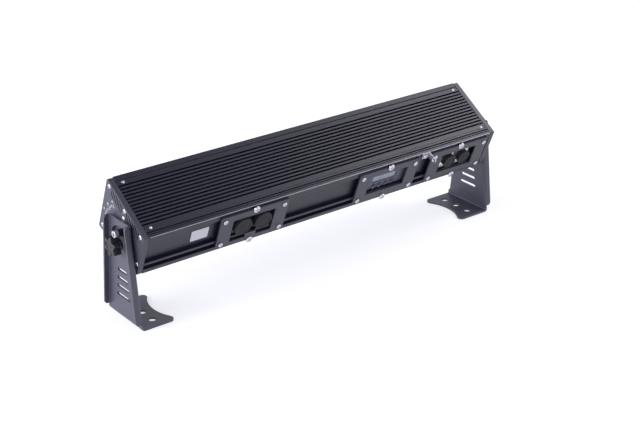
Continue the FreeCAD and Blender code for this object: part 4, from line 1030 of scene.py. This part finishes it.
@dataclass
class TiltScale:
    """Printed tilt scale on both end plates: plain strokes and degree numbers."""

    bar: BarDirections
    wardrobe: Wardrobe
    radius: float = 53.5 * MM
    long_stroke: float = 5.5 * MM
    short_stroke: float = 3.2 * MM
    width: float = 0.9 * MM
    thickness: float = 0.08 * MM
    number_height: float = 3.6 * MM
    number_radius: float = 57.2 * MM
    first: int = 45
    last: int = 80

    def stroke(self, angle: float, length: float) -> bmesh.types.BMesh:
        """One stroke in the (y, z) plane of the bar's section, drawn in (x, y).

        Args:
            angle: from straight up towards the rear, in radians.
            length: along the radius.

        Returns:
            The mesh.
        """
        radial = Vector((math.sin(angle), math.cos(angle)))
        across = Vector((radial.y, -radial.x)) * self.width / 2.0
        low, high = radial * (self.radius - length), radial * self.radius
        corners = [low - across, low + across, high + across, high - across]
        return prism([(corner.x, corner.y) for corner in reversed(corners)], 0.0, self.thickness)

    def number(self, degrees: int, angle: float, mirrored: bool) -> bpy.types.Object:
        """A degree number, upright on the radius.

        Args:
            degrees: the number.
            angle: where it stands, in radians.
            mirrored: whether the face looks to the right.

        Returns:
            A mesh object in the plane of the section.
        """
        curve = bpy.data.curves.new("scale_number", "FONT")
        curve.body = str(degrees)
        curve.size = self.number_height * 1.35
        curve.extrude = self.thickness / 2.0
        curve.align_x = "CENTER"
        curve.align_y = "CENTER"
        text = bpy.data.objects.new("scale_number", curve)
        bpy.context.scene.collection.objects.link(text)
        graph = bpy.context.evaluated_depsgraph_get()
        graph.update()
        data = bpy.data.meshes.new_from_object(text.evaluated_get(graph))
        bpy.data.objects.remove(text, do_unlink=True)
        flip = -1.0 if mirrored else 1.0
        place = Matrix.Translation((self.number_radius * math.sin(angle),
                                    self.number_radius * math.cos(angle), self.thickness / 2.0))
        place = place @ Matrix.Rotation(-angle, 4, "Z") @ Matrix.Diagonal((-flip, 1.0, 1.0, 1.0))
        data.transform(place)
        piece = bpy.data.objects.new("scale_number", data)
        bpy.context.scene.collection.objects.link(piece)
        return piece

    def build(self) -> None:
        """Print the scale on both end plates."""
        for side, name in ((-1.0, "left_tilt_scale"), (1.0, "right_tilt_scale")):
            rear, up = -self.bar.outward, self.bar.up
            section = Matrix((
                (rear.x, up.x, side, side * self.bar.end_x),
                (rear.y, up.y, 0.0, self.bar.pivot.y),
                (rear.z, up.z, 0.0, self.bar.pivot.z),
                (0.0, 0.0, 0.0, 1.0)))
            helpers = []
            for degrees in range(self.first, self.last + 1, 5):
                angle = math.radians(degrees)
                length = self.long_stroke if degrees % 15 == 0 else self.short_stroke
                helpers.append(mesh_object("stroke", self.stroke(angle, length)))
                if degrees % 15 == 0:
                    helpers.append(self.number(degrees, angle, side > 0))
            placed = [(helper.data, section) for helper in helpers]
            piece = joined(name, placed)
            for helper in helpers:
                bpy.data.objects.remove(helper, do_unlink=True)
            self.wardrobe.dress_piece(piece, Finishes.INK, "bar")


# ---------------------------------------------------------------------------
# Connector caps and display
# ---------------------------------------------------------------------------

@dataclass
class ConnectorCap:
    """Ribbed pull-off cap in place of a CAD cap."""

    wardrobe: Wardrobe
    bar: BarDirections
    node: str
    radius: float
    height: float
    bore: float
    bore_depth: float
    ribs: int = 30
    neck: float = 0.0

    def build(self) -> None:
        """Build the cap on its connector."""
        edge = 1.3 * MM
        top = self.height
        profile = [(0.0, self.bore_depth), (self.bore, self.bore_depth), (self.bore, 0.0)]
        if self.neck:
            profile += [(self.neck, 0.0), (self.neck, top - 3.6 * MM), (self.radius, top - 2.8 * MM)]
        else:
            profile += [(self.radius - 0.6 * MM, 0.0), (self.radius, 0.5 * MM)]
        profile.append((self.radius, top - edge))
        for step in range(1, 5):
            angle = math.pi / 2.0 * step / 4
            profile.append((self.radius - edge + edge * math.cos(angle),
                            top - edge + edge * math.sin(angle)))
        face = self.radius * 0.74
        profile += [(face + 0.5 * MM, top), (face, top - 0.6 * MM), (face * 0.45, top - 0.6 * MM),
                    (face * 0.42, top - 0.2 * MM), (0.0, top - 0.2 * MM)]

        def ribbed(radius: float, angle: float) -> float:
            """Shallow finger ribs round the rim."""
            if radius < self.radius - 0.05 * MM:
                return radius
            return radius - 0.25 * MM * (0.5 + 0.5 * math.cos(self.ribs * angle))

        points = solids_of(self.node)[0]
        inner, _ = ends_along(points, self.bar.outward)
        pattern = mesh_object("cap_pattern", revolve(profile, 4 * self.ribs, ribbed))
        piece = joined(self.node + "_shown", [(pattern.data, facing(self.bar.outward, inner))])
        bpy.data.objects.remove(pattern, do_unlink=True)
        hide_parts(self.node)
        self.wardrobe.dress_piece(piece, Finishes.RUBBER, self.node)


@dataclass
class MenuDisplay:
    """Screen face behind the window and the printed signs beside the buttons."""

    bar: BarDirections
    wardrobe: Wardrobe
    center_x: float = 106.0 * MM
    screen_z: float = 16.0 * MM
    screen_y: float = -37.06 * MM
    screen_length: float = 45.7 * MM
    screen_height: float = 12.6 * MM
    panel_y: float = -39.2 * MM
    sign_z: float = -1.2 * MM
    button_pitch: float = 11.4 * MM

    def section(self, y: float, z: float) -> Matrix:
        """Place that maps (x, y) on a plane parallel to the connector side.

        Args:
            y: the plane, towards the rear side.
            z: height of its origin.

        Returns:
            The matrix.
        """
        spot = self.bar.spot(self.center_x, y, z)
        up, out = self.bar.up, self.bar.outward
        return Matrix((
            (1.0, up.x, out.x, spot.x), (0.0, up.y, out.y, spot.y),
            (0.0, up.z, out.z, spot.z), (0.0, 0.0, 0.0, 1.0)))

    def digit(self, number: int, offset: float) -> list[bmesh.types.BMesh]:
        """A seven-segment digit.

        Args:
            number: the digit.
            offset: its place along x.

        Returns:
            The meshes of its lit segments.
        """
        lit = {0: "abcdef", 1: "bc", 2: "abged", 3: "abgcd", 5: "afgcd", 8: "abcdefg"}[number]
        wide, tall, thick = 4.0 * MM, 4.0 * MM, 0.8 * MM
        bars = {
            "a": (0.0, tall, True), "g": (0.0, 0.0, True), "d": (0.0, -tall, True),
            "b": (wide / 2, tall / 2, False), "c": (wide / 2, -tall / 2, False),
            "e": (-wide / 2, -tall / 2, False), "f": (-wide / 2, tall / 2, False)}
        meshes = []
        for key in lit:
            x, z, flat = bars[key]
            half_x = (wide * 0.42) if flat else thick / 2
            half_z = thick / 2 if flat else tall * 0.42
            outline = [(offset + x - half_x, z - half_z), (offset + x + half_x, z - half_z),
                       (offset + x + half_x, z + half_z), (offset + x - half_x, z + half_z)]
            meshes.append(prism(outline, 0.0, 0.03 * MM))
        return meshes

    def add(self, name: str, meshes: list[bmesh.types.BMesh], place: Matrix,
            finish: Finishes) -> None:
        """Join meshes into one piece of the display.

        Args:
            name: name of the piece.
            meshes: its meshes, freed here.
            place: where they go.
            finish: the finish.
        """
        helpers = [mesh_object("sign", mesh) for mesh in meshes]
        piece = joined(name, [(helper.data, place) for helper in helpers])
        for helper in helpers:
            bpy.data.objects.remove(helper, do_unlink=True)
        self.wardrobe.dress_piece(piece, finish, "bar")

    def build(self) -> None:
        """Build the screen face, its digits and the panel's signs."""
        half_x, half_z = self.screen_length / 2 + 0.8 * MM, self.screen_height / 2 + 0.8 * MM
        face = prism([(-half_x, -half_z), (half_x, -half_z), (half_x, half_z), (-half_x, half_z)],
                     0.0, 0.02 * MM)
        self.add("screen_face", [face], self.section(self.screen_y, self.screen_z), Finishes.SCREEN)
        digits: list[bmesh.types.BMesh] = []
        for place, number in enumerate((0, 0, 1)):
            digits += self.digit(number, (place - 1) * 7.5 * MM)
        self.add("screen_digits", digits, self.section(self.screen_y - 0.025 * MM, self.screen_z),
                 Finishes.SEGMENT)
        signs = []
        for index in range(4):
            x = (index - 1.5) * self.button_pitch
            size = 1.2 * MM
            shapes = (
                [(x - size, -size), (x + size, -size), (x + size, size), (x - size, size)],
                [(x - size, -size), (x + size, -size), (x, size)],
                [(x - size, size), (x, -size), (x + size, size)],
                [(x - size, -size * 0.3), (x + size, -size * 0.3), (x + size, size * 0.3),
                 (x - size, size * 0.3)],
            )
            signs.append(prism(shapes[index], 0.0, 0.05 * MM))
        self.add("panel_signs", signs, self.section(self.panel_y, self.sign_z), Finishes.INK)


@dataclass
class FrontLip:
    """Rounded nose of the bar's front lip in bright metal, a painted highlight along its crest."""

    bar: BarDirections
    wardrobe: Wardrobe
    half_length: float = 308.5 * MM
    radius: float = 0.55 * MM
    y: float = -42.6 * MM
    z: float = 44.65 * MM
    sides: int = 12

    def build(self) -> None:
        """Lay the nose along the bar's front upper corner."""
        mesh = bmesh.new()
        rings = []
        for x in (-self.half_length, self.half_length):
            ring = []
            for step in range(self.sides):
                angle = 2.0 * math.pi * step / self.sides
                ring.append(mesh.verts.new(self.bar.spot(
                    x, self.y + self.radius * math.cos(angle), self.z + self.radius * math.sin(angle))))
            rings.append(ring)
        for step in range(self.sides):
            after = (step + 1) % self.sides
            mesh.faces.new((rings[0][step], rings[0][after], rings[1][after], rings[1][step]))
        mesh.faces.new(rings[0])
        mesh.faces.new(list(reversed(rings[1])))
        self.wardrobe.dress_piece(mesh_object("front_lip_highlight_bead", mesh), Finishes.RUBBED, "bar")


# ---------------------------------------------------------------------------
# CAD nodes
# ---------------------------------------------------------------------------

@dataclass
class CadFinishes:
    """Finishes of the nodes that come straight from the frame."""

    wardrobe: Wardrobe

    def table(self) -> dict[Finishes, tuple[str, ...]]:
        """Which nodes wear which finish."""
        return {
            Finishes.BAR: ("housing",),
            Finishes.PLATE: ("left_end_plate", "right_end_plate", "power_plate", "display_plate",
                             "data_plate", "front_bezel"),
            Finishes.BRACKET: ("left_bracket", "right_bracket"),
            Finishes.EYE: ("safety_eye",),
            Finishes.SCREW: ("left_knob_stud", "right_knob_stud", "left_knob_washer",
                             "right_knob_washer", "plate_spacers", "board_standoffs"),
            Finishes.SLEEVE: ("left_guide_sleeve", "right_guide_sleeve"),
            Finishes.NICKEL: ("data_input", "data_output"),
            Finishes.PLASTIC: ("power_inlet", "power_outlet", "lens_holder", "pressure_vent",
                               "left_friction_washer", "right_friction_washer"),
            Finishes.BUTTON: ("menu_button_1", "menu_button_2", "menu_button_3", "menu_button_4"),
            Finishes.PANEL: ("display_panel",),
            Finishes.RUBBER: ("left_end_gasket", "right_end_gasket", "glass_gasket"),
            Finishes.GLASS: ("front_glass",),
            Finishes.WINDOW: ("display_window",),
            Finishes.LENS: ("lenses",),
            Finishes.FILM: ("blank_plate",),
            Finishes.LCD: ("lcd_module",),
            Finishes.BOARD: ("control_board",),
            Finishes.WHITE_BOARD: ("led_board",),
            Finishes.EMITTER: ("led_emitters",),
            Finishes.CASE: ("power_supply",),
        }

    def build(self) -> None:
        """Dress every node."""
        for finish, nodes in self.table().items():
            for node in nodes:
                self.wardrobe.dress_node(node, finish)


# ---------------------------------------------------------------------------
# Studio
# ---------------------------------------------------------------------------

@dataclass
class Studio:
    """Floor, soft lamps, pale surroundings and the camera."""

    bar: BarDirections
    camera_spot: Vector = field(default_factory=lambda: Vector((-1.1390, -1.4998, 0.9259)))
    azimuth: float = math.radians(37.62)
    drop: float = math.radians(24.44)
    roll: float = math.radians(-0.20)
    focal_pixels: float = 1391.0
    image_width: float = 640.0
    sensor: float = 36.0
    horizon_top: float = 0.45
    overhead: float = 0.75
    horizon_colour: Colour = (0.98, 0.98, 1.1)
    overhead_colour: Colour = (0.16, 0.16, 0.2)

    def camera(self) -> None:
        """Set up the camera at the photo's angle."""
        view = Vector((math.sin(self.azimuth) * math.cos(self.drop),
                       math.cos(self.azimuth) * math.cos(self.drop), -math.sin(self.drop)))
        right = Vector((math.cos(self.azimuth), -math.sin(self.azimuth), 0.0))
        up = right.cross(view)
        right, up = (right * math.cos(self.roll) + up * math.sin(self.roll),
                     up * math.cos(self.roll) - right * math.sin(self.roll))
        data = bpy.data.cameras.new("photo_camera")
        data.sensor_width = self.sensor
        data.lens = self.focal_pixels / self.image_width * self.sensor
        data.clip_start = 0.05
        camera = bpy.data.objects.new("photo_camera", data)
        spot = self.camera_spot + Vector((0.0, self.bar.pivot.y, 0.0))
        turn = Matrix((right, up, -view)).transposed().to_4x4()
        camera.matrix_world = Matrix.Translation(spot) @ turn
        bpy.context.scene.collection.objects.link(camera)
        bpy.context.scene.camera = camera

    def floor(self) -> None:
        """White floor that keeps a soft shadow."""
        mesh = bmesh.new()
        bmesh.ops.create_grid(mesh, x_segments=1, y_segments=1, size=6.0)
        floor = mesh_object("studio_floor", mesh)
        floor.location.z = -0.0002
        shading = Shading("studio_floor")
        path = shading.add("ShaderNodeLightPath")
        seen = shading.value("ShaderNodeMath", {"operation": "MAXIMUM"},
                             {0: path.outputs["Is Camera Ray"], 1: path.outputs["Is Glossy Ray"]})
        shows = shading.value("ShaderNodeMath", {"operation": "MAXIMUM"},
                              {0: seen, 1: path.outputs["Is Transmission Ray"]})
        plain = shading.add("ShaderNodeBsdfDiffuse", None, {"Color": (0.61, 0.61, 0.65, 1.0)})
        glow = shading.add("ShaderNodeEmission", None, {"Color": (1.0, 1.0, 1.0, 1.0), "Strength": 0.60})
        both = shading.add("ShaderNodeAddShader", None,
                           {0: plain.outputs["BSDF"], 1: glow.outputs["Emission"]})
        mixed = shading.add("ShaderNodeMixShader", None,
                            {0: shows, 1: plain.outputs["BSDF"], 2: both.outputs["Shader"]})
        shading.add("ShaderNodeOutputMaterial", None, {"Surface": mixed.outputs["Shader"]})
        floor.data.materials.append(shading.material)

    def world(self) -> None:
        """Pale surroundings: white to the eye, softer as light."""
        world = bpy.data.worlds.new("studio")
        bpy.context.scene.world = world
        world.use_nodes = True
        tree = world.node_tree
        tree.nodes.clear()
        spot = tree.nodes.new("ShaderNodeTexCoord")
        parts = tree.nodes.new("ShaderNodeSeparateXYZ")
        rise = tree.nodes.new("ShaderNodeMapRange")
        rise.interpolation_type = "SMOOTHSTEP"
        rise.inputs["From Min"].default_value = self.horizon_top
        rise.inputs["From Max"].default_value = self.overhead
        tint = tree.nodes.new("ShaderNodeMix")
        tint.data_type = "RGBA"
        tint.inputs[6].default_value = (*self.horizon_colour, 1.0)
        tint.inputs[7].default_value = (*self.overhead_colour, 1.0)
        path = tree.nodes.new("ShaderNodeLightPath")
        light = tree.nodes.new("ShaderNodeBackground")
        white = tree.nodes.new("ShaderNodeBackground")
        white.inputs["Color"].default_value = (1.0, 1.0, 1.0, 1.0)
        mix = tree.nodes.new("ShaderNodeMixShader")
        output = tree.nodes.new("ShaderNodeOutputWorld")
        tree.links.new(spot.outputs["Generated"], parts.inputs[0])
        tree.links.new(parts.outputs["Z"], rise.inputs["Value"])
        tree.links.new(rise.outputs[0], tint.inputs[0])
        tree.links.new(tint.outputs[2], light.inputs["Color"])
        tree.links.new(path.outputs["Is Camera Ray"], mix.inputs[0])
        tree.links.new(light.outputs[0], mix.inputs[1])
        tree.links.new(white.outputs[0], mix.inputs[2])
        tree.links.new(mix.outputs[0], output.inputs["Surface"])

    def lamp(self, name: str, spot: Vector, target: Vector, size: float, watts: float,
             colour: Colour = (1.0, 1.0, 1.0)) -> None:
        """One square softbox.

        Args:
            name: name of the lamp.
            spot: where it hangs.
            target: what it points at.
            size: side of its face in metres.
            watts: its power.
            colour: its colour.
        """
        data = bpy.data.lights.new(name, "AREA")
        data.shape = "SQUARE"
        data.size = size
        data.energy = watts
        data.color = colour
        lamp = bpy.data.objects.new(name, data)
        lamp.location = spot
        lamp.rotation_euler = (target - spot).to_track_quat("-Z", "Y").to_euler()
        bpy.context.scene.collection.objects.link(lamp)

    def build(self) -> None:
        """Set up the studio."""
        self.camera()
        self.floor()
        self.world()
        middle = Vector((0.0, 0.0, 0.12))
        self.lamp("key_softbox", Vector((2.1, -0.5, 2.1)), middle, 1.1, 26.0)
        self.lamp("left_softbox", Vector((-2.0, 0.5, 0.8)), middle, 1.2, 36.0, (0.88, 0.9, 1.0))
        settings = bpy.context.scene.view_settings
        settings.view_transform = "Standard"


# ---------------------------------------------------------------------------
# Assembly
# ---------------------------------------------------------------------------


def main() -> None:
    """Build the light's looks and its studio in order."""
    logging.basicConfig(level=logging.INFO, format="%(name)s: %(message)s")
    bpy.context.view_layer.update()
    bar = BarDirections()
    wardrobe = Wardrobe()
    CadFinishes(wardrobe).build()
    Screws(bar, wardrobe).build()
    ClampKnob(bar, wardrobe).build()
    GuideScrews(bar, wardrobe).build()
    TiltScale(bar, wardrobe).build()
    for node in ("power_inlet_cap", "power_outlet_cap"):
        ConnectorCap(wardrobe, bar, node, 14.5 * MM, 8.0 * MM, 12.7 * MM, 5.2 * MM).build()
    for node in ("data_input_cap", "data_output_cap"):
        ConnectorCap(wardrobe, bar, node, 11.5 * MM, 8.0 * MM, 10.4 * MM, 5.2 * MM, 24,
                     10.8 * MM).build()
    MenuDisplay(bar, wardrobe).build()
    FrontLip(bar, wardrobe).build()
    Studio(bar).build()


if __name__ == "__main__":
    main()
